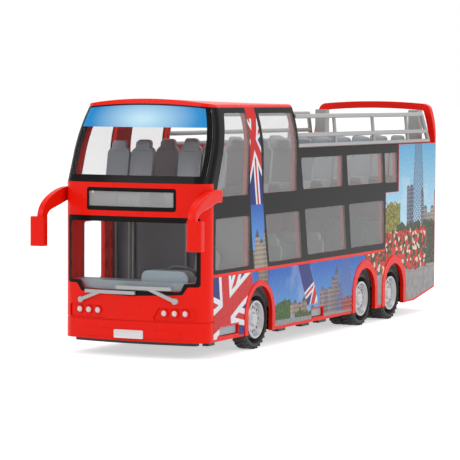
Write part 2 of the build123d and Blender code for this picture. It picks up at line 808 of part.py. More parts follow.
with BuildPart() as chassis:
    with BuildSketch(plan(chassis_bottom)):
        add(body_plan(wall + fit))
        for name, distance, lip_half, lip_top, tyres in axles:
            well_inner = tyre_face - tyres * tyre_width - 1.2
            for hand in (-1, 1):
                with Locations((hand * (well_inner + half) / 2, distance)):
                    Rectangle(half - well_inner, 2 * arch_pocket, mode=Mode.SUBTRACT)
    extrude(amount=chassis_thickness)
    # The pan slopes up under the tail, as the skirt does
    with BuildSketch(side(-half)):
        Polygon((246, 0), (body_length, 0), (body_length, 20), (246, 20), align=None)
    extrude(amount=body_width, mode=Mode.SUBTRACT)
    with BuildSketch(side(-inside + tail_corner)) as slope:
        Polygon(
            (245, chassis_bottom),
            (tail_inside, chassis_bottom + tail_rise),
            (tail_inside, chassis_bottom + chassis_thickness + tail_rise),
            (245, chassis_bottom + chassis_thickness),
            align=None,
        )
    extrude(amount=2 * (inside - tail_corner))
    # Bearing blocks for the three axles
    for name, distance, lip_half, lip_top, tyres in axles:
        with BuildSketch(side(-bearing_out - bearing_thick / 2)):
            with Locations((distance, (chassis_bottom + floor_height - floor_thickness) / 2)):
                Rectangle(8, floor_height - floor_thickness - chassis_bottom)
        extrude(amount=bearing_thick)
        with BuildSketch(side(bearing_out - bearing_thick / 2)):
            with Locations((distance, (chassis_bottom + floor_height - floor_thickness) / 2)):
                Rectangle(8, floor_height - floor_thickness - chassis_bottom)
        extrude(amount=bearing_thick)
        with BuildSketch(side(-half)):
            with Locations((distance, tyre_radius)):
                Circle(axle_radius + bearing_clearance)
        extrude(amount=body_width, mode=Mode.SUBTRACT)
    with BuildSketch(plan(chassis_bottom)):
        for place in screw_places:
            with Locations((-screw_out, place), (screw_out, place)):
                Circle(screw_post)
    extrude(amount=floor_height - floor_thickness - chassis_bottom)
    with BuildSketch(plan(chassis_bottom)):
        for place in screw_places:
            with Locations((-screw_out, place), (screw_out, place)):
                Circle(screw_hole)
    extrude(amount=floor_height - floor_thickness - chassis_bottom, mode=Mode.SUBTRACT)
    # Under the nose hang a tow lump and a bowed lip, and along the sides small feet
    with BuildSketch(plan(chassis_bottom - lip_drop)):
        with Locations((0, 9)):
            RectangleRounded(11, 7, 1.5)
    extrude(amount=lip_drop)
    with BuildSketch(plan(chassis_bottom - lip_drop)):
        add(body_plan(wall + fit))
        add(body_plan(wall + fit + 0.5, width=half - 0.5, setback=lip_width), mode=Mode.SUBTRACT)
        with Locations((0, mask_depth / 2)):
            Rectangle(60, mask_depth, mode=Mode.INTERSECT)
    extrude(amount=lip_drop)
    with BuildSketch(plan(chassis_bottom - foot_drop)):
        for foot_front, foot_rear in feet:
            for hand in (-1, 1):
                with Locations((hand * (inside - fit - foot_width / 2), (foot_front + foot_rear) / 2)):
                    Rectangle(foot_width, foot_rear - foot_front)
    extrude(amount=foot_drop)
chassis.part.label = "chassis"


# Wheels: a steel shaft, rubber tyres and dished hubs on each axle
hub_recess = 1.6
cap_radius = 2.6
ring_holes = 8
wheel_parts = []


def axle_plane(distance):
    return Plane(origin=(0, front + distance, tyre_radius), x_dir=(1, 0, 0), z_dir=(0, -1, 0))


for name, distance, lip_half, lip_top, tyres in axles:
    wheel_width = tyres * tyre_width
    wheel_inner = tyre_face - wheel_width
    with BuildPart() as shaft:
        with BuildSketch(side(-tyre_face + hub_recess + 1.5)):
            with Locations((distance, tyre_radius)):
                Circle(axle_radius)
        extrude(amount=2 * (tyre_face - hub_recess - 1.5))
    shaft.part.label = name + "_axle"
    with BuildPart() as tyre_pair:
        for hand in (-1, 1):
            axis = Axis((0, front + distance, tyre_radius), (1, 0, 0))
            with BuildSketch(axle_plane(distance)) as rubber:
                for tyre in range(tyres):
                    outer = tyre_face - tyre * tyre_width
                    with Locations((hand * (outer - tyre_width / 2), (tyre_radius + hub_radius) / 2)):
                        Rectangle(tyre_width, tyre_radius - hub_radius)
                chamfer(rubber.vertices().group_by(Axis.Y)[-1], 1.1)
                for tyre in range(1, tyres):
                    groove = tyre_face - tyre * tyre_width
                    with Locations((hand * groove, tyre_radius)):
                        Rectangle(tyre_groove, 5, mode=Mode.SUBTRACT)
            revolve(axis=axis)
    tyre_pair.part.label = name + "_tyres"
    with BuildPart() as hub_pair:
        for hand in (-1, 1):
            axis = Axis((0, front + distance, tyre_radius), (1, 0, 0))
            # Profile from the bore at the back, out along the back, and down the dished face
            profile = [
                (wheel_inner + 0.6, axle_radius),
                (wheel_inner + 0.6, hub_radius),
                (tyre_face, hub_radius),
                (tyre_face, hub_radius - 0.9),
                (tyre_face - hub_recess, hub_radius - 1.6),
                (tyre_face - hub_recess, cap_radius + 0.8),
                (tyre_face - 0.4, cap_radius),
                (tyre_face - 0.4, 0),
                (tyre_face - hub_recess - 1.5, 0),
                (tyre_face - hub_recess - 1.5, axle_radius),
            ]
            with BuildSketch(axle_plane(distance)):
                Polygon(*[(hand * out, up) for out, up in profile], align=None)
            revolve(axis=axis)
            with BuildSketch(side(hand * tyre_face)):
                with Locations((distance, tyre_radius)):
                    with PolarLocations((hub_radius + cap_radius) / 2, ring_holes):
                        Circle(0.75)
            extrude(amount=-hand * (hub_recess + 1.2), mode=Mode.SUBTRACT)
    hub_pair.part.label = name + "_hubs"
    wheel_parts += [shaft, tyre_pair, hub_pair]


# Seats: a two-seat bench is one moulding, with a headrest above each back
bench_width = 26.0
cushion_height = 9.0
cushion_depth = 11.5
back_height = 26.0
back_thick = 2.6
back_rake = 3.0
head_width = 7.5
head_height = 29.0
bench_out = 17.2
upper_width = 24.4
upper_outs = [-19.8, 16.8]
upper_rows = [22.5 + 24 * row for row in range(10)]
lower_rows = [80, 104, 128, 236]


def bench_profile(distance, floor):
    """Side view of a bench: kick panel, cushion and raked back."""
    with BuildSketch(mode=Mode.PRIVATE) as profile:
        with BuildLine():
            Polyline(
                (distance + 1.5, floor),
                (distance + 1.0, floor + cushion_height - 2.4),
                (distance, floor + cushion_height - 2.0),
                (distance, floor + cushion_height),
                (distance + cushion_depth, floor + cushion_height - 0.6),
                (distance + cushion_depth + back_rake, floor + back_height),
                (distance + cushion_depth + back_rake + back_thick, floor + back_height),
                (distance + cushion_depth + back_thick, floor + 4),
                (distance + cushion_depth, floor),
                close=True,
            )
        make_face()
    return profile.sketch


def benches(rows, outs, floor, width):
    """Rows of benches, with two headrests on each back and a channel between its two seats."""
    with BuildPart() as moulding:
        for out in outs:
            with BuildSketch(side(out - width / 2)):
                for row in rows:
                    add(bench_profile(row, floor))
            extrude(amount=width)
        for row in rows:
            with BuildSketch(across(row + cushion_depth + back_rake + back_thick)):
                for out in outs:
                    with Locations((out, floor + (back_height + head_height) / 2 - 1)):
                        with GridLocations(width / 2, 0, 2, 1):
                            RectangleRounded(head_width, head_height - back_height + 2, 1.2)
            extrude(amount=back_thick)
        with BuildSketch(plan(floor + cushion_height - 1.6)):
            for row in rows:
                for out in outs:
                    with Locations((out, row + cushion_depth / 2)):
                        Rectangle(0.8, cushion_depth)
        extrude(amount=20, mode=Mode.SUBTRACT)
    return moulding.part


with BuildPart() as upper_seats:
    add(benches(upper_rows, upper_outs, deck_height, upper_width))
upper_seats.part.label = "upper_seats"

with BuildPart() as lower_seats:
    add(benches(lower_rows, [-bench_out, bench_out], floor_height, bench_width))
lower_seats.part.label = "lower_seats"


# Driver's place: dashboard with a hooded binnacle, steering wheel, seat and the wall behind it
dash_top = 33.4
binnacle_top = 38.2
binnacle_out = 13.5
binnacle_width = 23.0
wheel_rim = 7.0
wheel_place = (14.0, 25.5, 35.3)
column_length = 19.5
driver_out = 17.0
partition_back = 47.5

with BuildPart() as dashboard:
    with BuildSketch(plan(floor_height)):
        add(body_plan(wall + fit))
        with Locations((0, 9.5)):
            Rectangle(2 * (inside - door_jamb - fit), 11.0, mode=Mode.INTERSECT)
    extrude(amount=dash_top - floor_height)
    with BuildSketch(across(14.5)) as hood:
        with Locations((binnacle_out, (dash_top + binnacle_top) / 2 - 1)):
            Rectangle(binnacle_width, binnacle_top - dash_top + 2)
        fillet(hood.vertices().group_by(Axis.Y)[-1], 3.5)
    extrude(amount=7.0)
dashboard.part.label = "dashboard"

with BuildPart() as wheel_shape:
    with BuildSketch(Plane.XZ):
        with Locations((wheel_rim, 0)):
            RegularPolygon(0.8, 8)
    revolve(axis=Axis.Z)
    Box(2 * wheel_rim, 1.6, 1.0)
    Cylinder(0.9, column_length, align=(Align.CENTER, Align.CENTER, Align.MAX))

with BuildPart() as steering_wheel:
    wheel_out, wheel_back, wheel_height = wheel_place
    with Locations(Location((wheel_out, front + wheel_back, wheel_height), (-35, 0, 0))):
        add(wheel_shape.part)
    add(dashboard.part, mode=Mode.SUBTRACT)
    add(lower_floor.part, mode=Mode.SUBTRACT)
steering_wheel.part.label = "steering_wheel"

with BuildPart() as driver_seat:
    add(benches([27], [driver_out], floor_height, 13.0))
driver_seat.part.label = "driver_seat"

with BuildPart() as partition:
    with BuildSketch(across(partition_back)):
        with Locations((0, (floor_height + deck_height - deck_thickness) / 2)):
            Rectangle(2 * (inside - fit), deck_height - deck_thickness - floor_height)
    extrude(amount=1.4)
    # It stops over the front tubs
    name, distance, lip_half, lip_top, tyres = axles[0]
    for hand in (-1, 1):
        with BuildSketch(side(hand * (tyre_face - tyre_width - 2.0))):
            add(arch_outline(distance, tub_radius + tub_wall, tyre_radius + tub_radius + tub_wall))
        extrude(amount=hand * 30, mode=Mode.SUBTRACT)
partition.part.label = "partition"


# Mirrors on flat tapered arms that lie on the body's sides, and wipers lying on the windscreen
arm_top = [(14.0, 73.8), (6.4, 74.0), (-2.2, 72.0), (-8.8, 69.0), (-12.4, 65.8), (-14.0, 60.6)]
arm_under = [(-10.2, 60.6), (-8.6, 63.4), (-5.0, 64.9), (1.7, 66.5), (8.4, 68.2), (13.5, 68.4)]

with BuildPart() as left_mirror:
    with BuildSketch(side(half)):
        with BuildLine():
            upper_edge = Spline(*arm_top)
            lower_edge = Spline(*arm_under)
            Line(upper_edge @ 1, lower_edge @ 0)
            Line(lower_edge @ 1, upper_edge @ 0)
        make_face()
    extrude(amount=mirror_arm)
    fillet(left_mirror.faces().sort_by(Axis.X)[-1].edges(), 1.0)
    with BuildSketch(plan(mirror_bottom)):
        with Locations((mirror_out, -mirror_forward)):
            RectangleRounded(mirror_width, mirror_depth, 1.4)
    extrude(amount=mirror_tall)
left_mirror.part.label = "left_mirror"

with BuildPart() as right_mirror:
    add(mirror(left_mirror.part, about=Plane.YZ))
right_mirror.part.label = "right_mirror"

# Wipers: name, pivot, joint on the blade, blade from, blade to, each as out from the middle and height
wipers = [
    ("right_wiper", (-25.1, 24.6), (-14.7, 28.6), -22.6, 3.1),
    ("left_wiper", (22.1, 25.6), (9.3, 30.9), -6.2, 20.4),
]
wiper_parts = []
for name, pivot, joint, blade_from, blade_to in wipers:
    with BuildPart() as wiper:
        with BuildSketch(across(-5)):
            with Locations(((blade_from + blade_to) / 2, joint[1])):
                Rectangle(blade_to - blade_from, 1.5)
            length = hypot(joint[0] - pivot[0], joint[1] - pivot[1])
            angle = degrees(atan2(joint[1] - pivot[1], joint[0] - pivot[0]))
            with Locations(Location(((pivot[0] + joint[0]) / 2, (pivot[1] + joint[1]) / 2), angle)):
                Rectangle(length, 1.5)
            with Locations(pivot):
                Circle(1.3)
        extrude(amount=-12)
        with BuildSketch(plan(skirt_height)):
            add(body_plan(0))
        extrude(amount=mask_top, mode=Mode.SUBTRACT)
        with BuildSketch(Plane(origin=(0, front - 1.2, skirt_height))):
            add(body_plan(0))
        extrude(amount=mask_top, mode=Mode.INTERSECT)
    wiper.part.label = name
    wiper_parts.append(wiper)


os.makedirs("parts", exist_ok=True)
pieces = [
    left_glazing,
    right_glazing,
    left_side,
    right_side,
    lower_windscreen,
    sight_glass,
    front_mask,
    headlamps,
    upper_windscreen,
    roof,
    rear_window,
    rear_panel,
    tail_lamps,
    rear_hoop,
    hoop_pillars,
    left_railing,
    right_railing,
    upper_deck,
    lower_floor,
    chassis,
    upper_seats,
    lower_seats,
    dashboard,
    steering_wheel,
    driver_seat,
    partition,
    left_mirror,
    right_mirror,
]
pieces += door_leaves
pieces += wheel_parts
pieces += wiper_parts
for piece in pieces:
    export_step(piece.part, "parts/" + piece.part.label + ".step")
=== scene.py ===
from math import cos, radians, sin

import bpy
from mathutils import Matrix, Vector


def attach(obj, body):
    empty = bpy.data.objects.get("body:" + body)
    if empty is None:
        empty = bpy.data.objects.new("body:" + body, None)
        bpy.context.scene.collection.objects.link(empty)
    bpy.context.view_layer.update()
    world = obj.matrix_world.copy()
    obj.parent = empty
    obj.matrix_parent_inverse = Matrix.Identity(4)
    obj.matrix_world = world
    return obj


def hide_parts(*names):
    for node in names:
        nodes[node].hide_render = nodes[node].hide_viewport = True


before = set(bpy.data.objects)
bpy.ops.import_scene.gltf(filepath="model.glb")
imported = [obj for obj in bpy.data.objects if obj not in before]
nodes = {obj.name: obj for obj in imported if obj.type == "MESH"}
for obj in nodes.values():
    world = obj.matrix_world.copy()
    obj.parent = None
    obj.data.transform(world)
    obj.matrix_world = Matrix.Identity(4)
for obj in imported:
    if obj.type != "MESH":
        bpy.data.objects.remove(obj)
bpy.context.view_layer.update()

# The studio: a white table under soft light, seen from a little above and to the left of the bus.
# The table stays white to the eye and keeps a faint shadow where the tyres stand.
nose = -0.132675
camera_azimuth = 26.17
camera_elevation = 3.38
camera_roll = 0.29
white = (1.0, 1.0, 1.0, 1.0)

camera_data = bpy.data.cameras.new("camera")
camera_data.lens = 179.5
camera_data.sensor_width = 36.0
camera_data.clip_start = 0.1
camera_data.clip_end = 40.0
camera = bpy.data.objects.new("camera", camera_data)
bpy.context.scene.collection.objects.link(camera)
camera.location = (0.4806, -1.01098, 0.1154)
turned = Matrix.Rotation(radians(camera_azimuth), 3, "Z")
turned = turned @ Matrix.Rotation(radians(90 - camera_elevation), 3, "X")
camera.rotation_euler = (turned @ Matrix.Rotation(radians(camera_roll), 3, "Z")).to_euler()
bpy.context.scene.camera = camera
bpy.context.scene.view_settings.view_transform = "Standard"


def add_node(tree, kind, values=None, **settings):
    made = tree.nodes.new(kind)
    for key, value in settings.items():
        setattr(made, key, value)
    for key, value in (values or {}).items():
        if isinstance(value, bpy.types.NodeSocket):
            tree.links.new(value, made.inputs[key])
        else:
            made.inputs[key].default_value = value
    return made


def maths(tree, operation, first, second=0.0, third=0.0):
    return add_node(tree, "ShaderNodeMath", {0: first, 1: second, 2: third}, operation=operation).outputs[0]


def colours(tree, share, under, over):
    return add_node(tree, "ShaderNodeMix", {0: share, 6: under, 7: over}, data_type="RGBA").outputs[2]


def seen_directly(tree):
    path = add_node(tree, "ShaderNodeLightPath")
    either = maths(tree, "MAXIMUM", path.outputs["Is Camera Ray"], path.outputs["Is Glossy Ray"])
    return maths(tree, "MAXIMUM", either, path.outputs["Is Transmission Ray"])


world = bpy.data.worlds.new("studio")
bpy.context.scene.world = world
world.use_nodes = True
sky = world.node_tree
sky.nodes.clear()
backdrop = add_node(sky, "ShaderNodeBackground", {"Color": white, "Strength": 1.0})
soft_light = add_node(sky, "ShaderNodeBackground", {"Color": white, "Strength": 0.62})
shown = add_node(
    sky, "ShaderNodeMixShader", {0: seen_directly(sky), 1: soft_light.outputs[0], 2: backdrop.outputs[0]}
)
add_node(sky, "ShaderNodeOutputWorld", {"Surface": shown.outputs[0]})

for name, place, size, power in (
    ("front_softbox", (-0.55, -1.3, 0.9), 0.9, 7.0),
    ("side_softbox", (1.3, -0.1, 0.8), 0.9, 6.0),
    ("top_softbox", (0.1, 0.2, 1.4), 1.2, 6.0),
):
    lamp_data = bpy.data.lights.new(name, "AREA")
    lamp_data.energy = power
    lamp_data.size = size
    lamp = bpy.data.objects.new(name, lamp_data)
    bpy.context.scene.collection.objects.link(lamp)
    lamp.location = place
    lamp.rotation_euler = (Vector((0, 0, 0.05)) - Vector(place)).to_track_quat("-Z", "Y").to_euler()

bpy.ops.object.select_all(action="DESELECT")
bpy.ops.mesh.primitive_plane_add(size=40.0, location=(0, 0, 0))
table = bpy.context.active_object
table.name = "studio_table"
table_white = bpy.data.materials.new("table_white")
table_white.use_nodes = True
tree = table_white.node_tree
tree.nodes.clear()
matt = add_node(tree, "ShaderNodeBsdfDiffuse", {"Color": (0.86, 0.86, 0.86, 1.0)})
glow = add_node(tree, "ShaderNodeEmission", {"Color": white, "Strength": 0.55})
lifted = add_node(tree, "ShaderNodeAddShader", {0: matt.outputs[0], 1: glow.outputs[0]})
surface = add_node(
    tree, "ShaderNodeMixShader", {0: seen_directly(tree), 1: matt.outputs[0], 2: lifted.outputs[0]}
)
add_node(tree, "ShaderNodeOutputMaterial", {"Surface": surface.outputs[0]})
table.data.materials.append(table_white)


# The body: sides, nose, roof, tail, hoop, doors and mirrors, moulded in glossy red plastic.
# The colour goes right through, so it is even, with the faint ripple that a mould leaves.
def noise(tree, place, scale, detail=3.0):
    fineness = {"Vector": place, "Scale": scale, "Detail": detail}
    return add_node(tree, "ShaderNodeTexNoise", fineness).outputs[0]


def ramp(tree, value, low, high, least=0.0, most=1.0):
    limits = {"Value": value, "From Min": low, "From Max": high, "To Min": least, "To Max": most}
    return add_node(tree, "ShaderNodeMapRange", limits).outputs[0]


def moulded(name, colour, roughness, ripple=0.00003, mottle=0.06, shine=0.4):
    material = bpy.data.materials.new(name)
    material.use_nodes = True
    tree = material.node_tree
    shader = tree.nodes["Principled BSDF"]
    place = add_node(tree, "ShaderNodeTexCoord").outputs["Object"]
    cloud = noise(tree, place, 45.0)
    deeper = tuple(channel * (1 - mottle) for channel in colour) + (1.0,)
    lighter = tuple(min(1.0, channel * (1 + mottle)) for channel in colour) + (1.0,)
    tree.links.new(colours(tree, cloud, deeper, lighter), shader.inputs["Base Color"])
    gloss = ramp(tree, cloud, 0.3, 0.7, roughness * 0.85, roughness * 1.15)
    tree.links.new(gloss, shader.inputs["Roughness"])
    peel = noise(tree, place, 700.0, 2.0)
    bump = add_node(tree, "ShaderNodeBump", {"Height": peel, "Strength": 0.35, "Distance": ripple})
    tree.links.new(bump.outputs[0], shader.inputs["Normal"])
    shader.inputs["Specular IOR Level"].default_value = shine
    return material


def dress(names, material):
    for name in names:
        nodes[name].data.materials.clear()
        nodes[name].data.materials.append(material)


red_plastic = moulded("red_plastic", (0.80, 0.010, 0.003), 0.27, shine=0.13)
red_nodes = ["left_side", "right_side", "front_mask", "roof", "rear_panel", "rear_hoop", "left_mirror"]
red_nodes += ["right_mirror", "front_door", "middle_door"]
dress(red_nodes, red_plastic)


# Side glazing: one clear sheet a side, printed glossy black all over except where the windows are.
# A window is a slanted four-sided field with rounded corners, given in millimetres from the nose.
def opening_group():
    group = bpy.data.node_groups.new("window_field", "ShaderNodeTree")
    for label in ("Back", "Up", "Low", "High", "Front slope", "Front", "Rear slope", "Rear", "Corner"):
        group.interface.new_socket(label, in_out="INPUT", socket_type="NodeSocketFloat")
    group.interface.new_socket("Inside", in_out="OUTPUT", socket_type="NodeSocketFloat")
    given = group.nodes.new("NodeGroupInput").outputs
    front_line = maths(group, "MULTIPLY_ADD", given["Up"], given["Front slope"], given["Front"])
    rear_line = maths(group, "MULTIPLY_ADD", given["Up"], given["Rear slope"], given["Rear"])
    beyond = maths(
        group,
        "MAXIMUM",
        maths(group, "SUBTRACT", front_line, given["Back"]),
        maths(group, "SUBTRACT", given["Back"], rear_line),
    )
    above = maths(
        group,
        "MAXIMUM",
        maths(group, "SUBTRACT", given["Low"], given["Up"]),
        maths(group, "SUBTRACT", given["Up"], given["High"]),
    )
    along = maths(group, "MAXIMUM", maths(group, "ADD", beyond, given["Corner"]), 0.0)
    upright = maths(group, "MAXIMUM", maths(group, "ADD", above, given["Corner"]), 0.0)
    reach = maths(
        group,
        "ADD",
        maths(group, "MULTIPLY", along, along),
        maths(group, "MULTIPLY", upright, upright),
    )
    rounded = maths(group, "MULTIPLY", given["Corner"], given["Corner"])
    inside = maths(group, "LESS_THAN", reach, rounded)
    out = group.nodes.new("NodeGroupOutput")
    group.links.new(inside, out.inputs["Inside"])
    return group


window_field = opening_group()


def place_in_mm(tree):
    """Distance out from the middle, distance back from the nose, and height, in millimetres."""
    place = add_node(tree, "ShaderNodeTexCoord").outputs["Object"]
    parts = add_node(tree, "ShaderNodeSeparateXYZ", {0: place})
    out = maths(tree, "MULTIPLY", maths(tree, "ABSOLUTE", parts.outputs[0]), 1000.0)
    back = maths(tree, "MULTIPLY", maths(tree, "SUBTRACT", parts.outputs[1], nose), 1000.0)
    up = maths(tree, "MULTIPLY", parts.outputs[2], 1000.0)
    return place, out, back, up


def in_window(tree, back, up, row, corner):
    low, high, low_front, low_rear, high_front, high_rear = row
    front_slope = (high_front - low_front) / (high - low)
    rear_slope = (high_rear - low_rear) / (high - low)
    made = add_node(tree, "ShaderNodeGroup", node_tree=window_field)
    tree.links.new(back, made.inputs["Back"])
    tree.links.new(up, made.inputs["Up"])
    for label, value in (
        ("Low", low),
        ("High", high),
        ("Front slope", front_slope),
        ("Front", low_front - front_slope * low),
        ("Rear slope", rear_slope),
        ("Rear", low_rear - rear_slope * low),
        ("Corner", corner),
    ):
        made.inputs[label].default_value = value
    return made.outputs[0]


def clear_plastic(name, build_print, smoke=0.012, tint=0.97):
    """Clear plastic, smoky by a share, with an opaque print where build_print's share is 1."""
    material = bpy.data.materials.new(name)
    material.use_nodes = True
    tree = material.node_tree
    tree.nodes.clear()
    place, out, back, up = place_in_mm(tree)
    share, colour = build_print(tree, place, out, back, up)
    see_through = add_node(tree, "ShaderNodeBsdfTransparent", {"Color": (tint, tint, tint, 1.0)})
    haze = add_node(
        tree,
        "ShaderNodeBsdfPrincipled",
        {"Base Color": (0.62, 0.63, 0.63, 1.0), "Roughness": 0.06, "IOR": 1.49},
    )
    facing = add_node(tree, "ShaderNodeLayerWeight", {"Blend": 0.5}).outputs["Facing"]
    veil = maths(tree, "MULTIPLY_ADD", maths(tree, "POWER", facing, 4.0), 0.55, smoke)
    pane = add_node(tree, "ShaderNodeMixShader", {0: veil, 1: see_through.outputs[0], 2: haze.outputs[0]})
    ink_gloss = maths(tree, "MULTIPLY_ADD", noise(tree, place, 900.0, 2.0), 0.10, 0.12)
    ink = add_node(
        tree,
        "ShaderNodeBsdfPrincipled",
        {"Base Color": colour, "Roughness": ink_gloss, "Specular IOR Level": 0.08},
    )
    surface = add_node(tree, "ShaderNodeMixShader", {0: share, 1: pane.outputs[0], 2: ink.outputs[0]})
    add_node(tree, "ShaderNodeOutputMaterial", {"Surface": surface.outputs[0]})
    return material


band_windows = [
    (38.7, 61.3, 12.9, 47.0, 12.9, 47.0),
    (38.9, 61.0, 68.0, 104.1, 63.5, 100.9),
    (39.8, 61.7, 111.0, 157.1, 107.0, 153.8),
    (40.0, 61.9, 162.8, 205.6, 159.7, 204.8),
    (70.7, 107.2, 12.9, 45.0, 26.3, 48.0),
    (70.7, 107.0, 61.5, 97.4, 61.3, 97.2),
    (71.0, 85.9, 105.2, 151.4, 102.3, 151.1),
    (71.0, 86.0, 158.5, 203.7, 156.4, 201.8),
    (70.7, 86.0, 206.7, 223.0, 205.2, 221.6),
]
print_black = (0.006, 0.005, 0.005, 1.0)
kerb_windows = [band_windows[1], (39.8, 61.7, 138.6, 157.1, 138.6, 153.8)] + band_windows[3:]


def band_print(windows):
    def build(tree, place, out, back, up):
        clear = 0.0
        for row in windows:
            clear = maths(tree, "MAXIMUM", in_window(tree, back, up, row, 1.2), clear)
        # The pillar between the first windows carries a tall picture, curved at both edges
        below = maths(tree, "SUBTRACT", up, 85.0)
        front_edge = maths(tree, "MULTIPLY_ADD", maths(tree, "MULTIPLY", below, below), 0.0022, 47.2)
        under = maths(tree, "SUBTRACT", up, 108.0)
        rear_edge = maths(tree, "MULTIPLY_ADD", maths(tree, "MULTIPLY", under, under), 0.0016, 58.2)
        inside = maths(
            tree,
            "MULTIPLY",
            maths(tree, "GREATER_THAN", back, front_edge),
            maths(tree, "LESS_THAN", back, rear_edge),
        )
        over_top = maths(tree, "GREATER_THAN", up, 104.6)
        capped = colours(tree, over_top, pillar_art(tree, place, back, up), (0.62, 0.01, 0.008, 1.0))
        ink = colours(tree, inside, print_black, capped)
        return maths(tree, "SUBTRACT", 1.0, clear), ink

    return build


# Upper windscreen: one clear bowed moulding that wraps round both corners, with a black printed rim,
# a black pillar line at each corner and a blue sunstrip, white in its middle, across the top.
lean_start = 88.0
lean_radius = 63.0


def screen_print(tree, place, out, back, up):
    risen = maths(tree, "MAXIMUM", maths(tree, "SUBTRACT", up, lean_start), 0.0)
    leant = maths(tree, "MULTIPLY", maths(tree, "MULTIPLY", risen, risen), 0.5 / lean_radius)
    reach = maths(tree, "ADD", out, leant)
    low_rim = maths(tree, "LESS_THAN", up, 79.9)
    under_brow = maths(tree, "MULTIPLY_ADD", maths(tree, "MULTIPLY", out, out), 0.0017, up)
    high_rim = maths(tree, "GREATER_THAN", under_brow, 110.6)
    pillar = maths(tree, "GREATER_THAN", reach, 34.2)
    bar = maths(
        tree, "MULTIPLY", maths(tree, "GREATER_THAN", reach, 32.3), maths(tree, "LESS_THAN", reach, 33.5)
    )
    across = maths(tree, "MAXIMUM", low_rim, high_rim)
    rim = maths(tree, "MAXIMUM", across, maths(tree, "MAXIMUM", pillar, bar))
    on_top = maths(tree, "GREATER_THAN", up, 100.9)
    strip = maths(tree, "MULTIPLY", on_top, maths(tree, "LESS_THAN", reach, 32.3))
    high_up = maths(tree, "MULTIPLY", maths(tree, "SUBTRACT", up, 104.5), 2.4)
    from_middle = maths(
        tree,
        "SQRT",
        maths(tree, "ADD", maths(tree, "MULTIPLY", out, out), maths(tree, "MULTIPLY", high_up, high_up)),
    )
    fade = ramp(tree, from_middle, 3.0, 27.0)
    blue = colours(tree, fade, (0.50, 0.74, 0.86, 1.0), (0.022, 0.25, 0.58, 1.0))
    return maths(tree, "MAXIMUM", rim, strip), colours(tree, rim, blue, print_black)


dress(["upper_windscreen"], clear_plastic("upper_screen", screen_print))


# Lower windscreen and the long sight window above it: clear panes with a black printed rim.
# The windscreen's bottom edge steps down in the middle, to clear the sweep of the wipers.
def lower_screen_print(tree, place, out, back, up):
    upper_field = in_window(tree, out, up, (33.3, 59.6, -31.4, 31.4, -31.4, 31.4), 1.5)
    middle_field = in_window(tree, out, up, (29.6, 40.0, -24.2, 24.2, -29.4, 29.4), 1.0)
    return maths(tree, "SUBTRACT", 1.0, maths(tree, "MAXIMUM", upper_field, middle_field)), print_black


def sight_print(tree, place, out, back, up):
    field = in_window(tree, out, up, (66.3, 72.8, -20.9, 20.9, -20.9, 20.9), 0.4)
    return maths(tree, "SUBTRACT", 1.0, field), print_black


def plain_pane(tree, place, out, back, up):
    return 0.0, print_black


def tail_print(tree, place, out, back, up):
    field = in_window(tree, out, up, (70.6, 83.4, -22.4, 22.4, -22.4, 22.4), 1.5)
    return maths(tree, "SUBTRACT", 1.0, field), print_black


dress(["lower_windscreen"], clear_plastic("lower_screen", lower_screen_print))
dress(["destination_window"], clear_plastic("sight_window", sight_print, 0.30))
dress(["rear_window"], clear_plastic("tail_window", tail_print))
dress(["front_door_glass", "middle_door_glass"], clear_plastic("door_pane", plain_pane))


# Grey and silver plastics of the inside, the railings and the wheels, and the black floor pan.
# Railings and hubs are moulded in silver-grey plastic with fine metal flake in it.
rail_silver = moulded("rail_silver", (0.36, 0.36, 0.355), 0.33)
hub_silver = moulded("hub_silver", (0.50, 0.51, 0.52), 0.30)
hub_silver.node_tree.nodes["Principled BSDF"].inputs["Metallic"].default_value = 0.35
pale_blue_grey = moulded("pale_blue_grey", (0.33, 0.40, 0.44), 0.40)
wall_grey = moulded("wall_grey", (0.15, 0.155, 0.17), 0.35, mottle=0.15)
pan_black = moulded("pan_black", (0.018, 0.018, 0.019), 0.40)
shaft_steel = moulded("shaft_steel", (0.45, 0.45, 0.46), 0.30)
lamp_red = moulded("lamp_red", (0.50, 0.010, 0.008), 0.16)
wiper_silver = moulded("wiper_silver", (0.42, 0.42, 0.42), 0.35)
dress(["left_railing", "right_railing", "hoop_pillars"], rail_silver)
dress(["upper_deck", "partition", "steering_wheel"], wall_grey)
dress(["dashboard", "lower_floor"], pale_blue_grey)
dress(["chassis"], pan_black)
dress(["front_axle", "middle_axle", "rear_axle"], shaft_steel)
dress(["front_hubs", "middle_hubs", "rear_hubs"], hub_silver)
dress(["tail_lamps"], lamp_red)
dress(["left_wiper", "right_wiper"], wiper_silver)


# Stickers of printed film on both sides: a flag-striped one round the front wheel, a street scene low
# between the wheels, and a park scene round the rear wheels and behind the glazing. Each is cut to clear
# the wheel arches and the doors, and lies flat on the red wall.
def mm(value):
    return value / 1000.0


def begin(add, **settings):
    bpy.ops.object.select_all(action="DESELECT")
    add(**settings)
    return bpy.context.active_object


def select_only(piece):
    bpy.ops.object.select_all(action="DESELECT")
    piece.select_set(True)
    bpy.context.view_layer.objects.active = piece


def apply_modifier(piece, kind, **settings):
    select_only(piece)
    modifier = piece.modifiers.new(kind.lower(), kind)
    for key, value in settings.items():
        setattr(modifier, key, value)
    bpy.ops.object.modifier_apply(modifier=modifier.name)


def finish_piece(piece, name, material, body="body"):
    select_only(piece)
    bpy.ops.object.transform_apply(location=True, rotation=True, scale=True)
    piece.name = name
    piece.data.name = name
    piece.data.materials.clear()
    piece.data.materials.append(material)
    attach(piece, body)
    return piece


def cut_away(piece, cutter):
    apply_modifier(piece, "BOOLEAN", operation="DIFFERENCE", solver="EXACT", object=cutter)
    bpy.data.objects.remove(cutter)


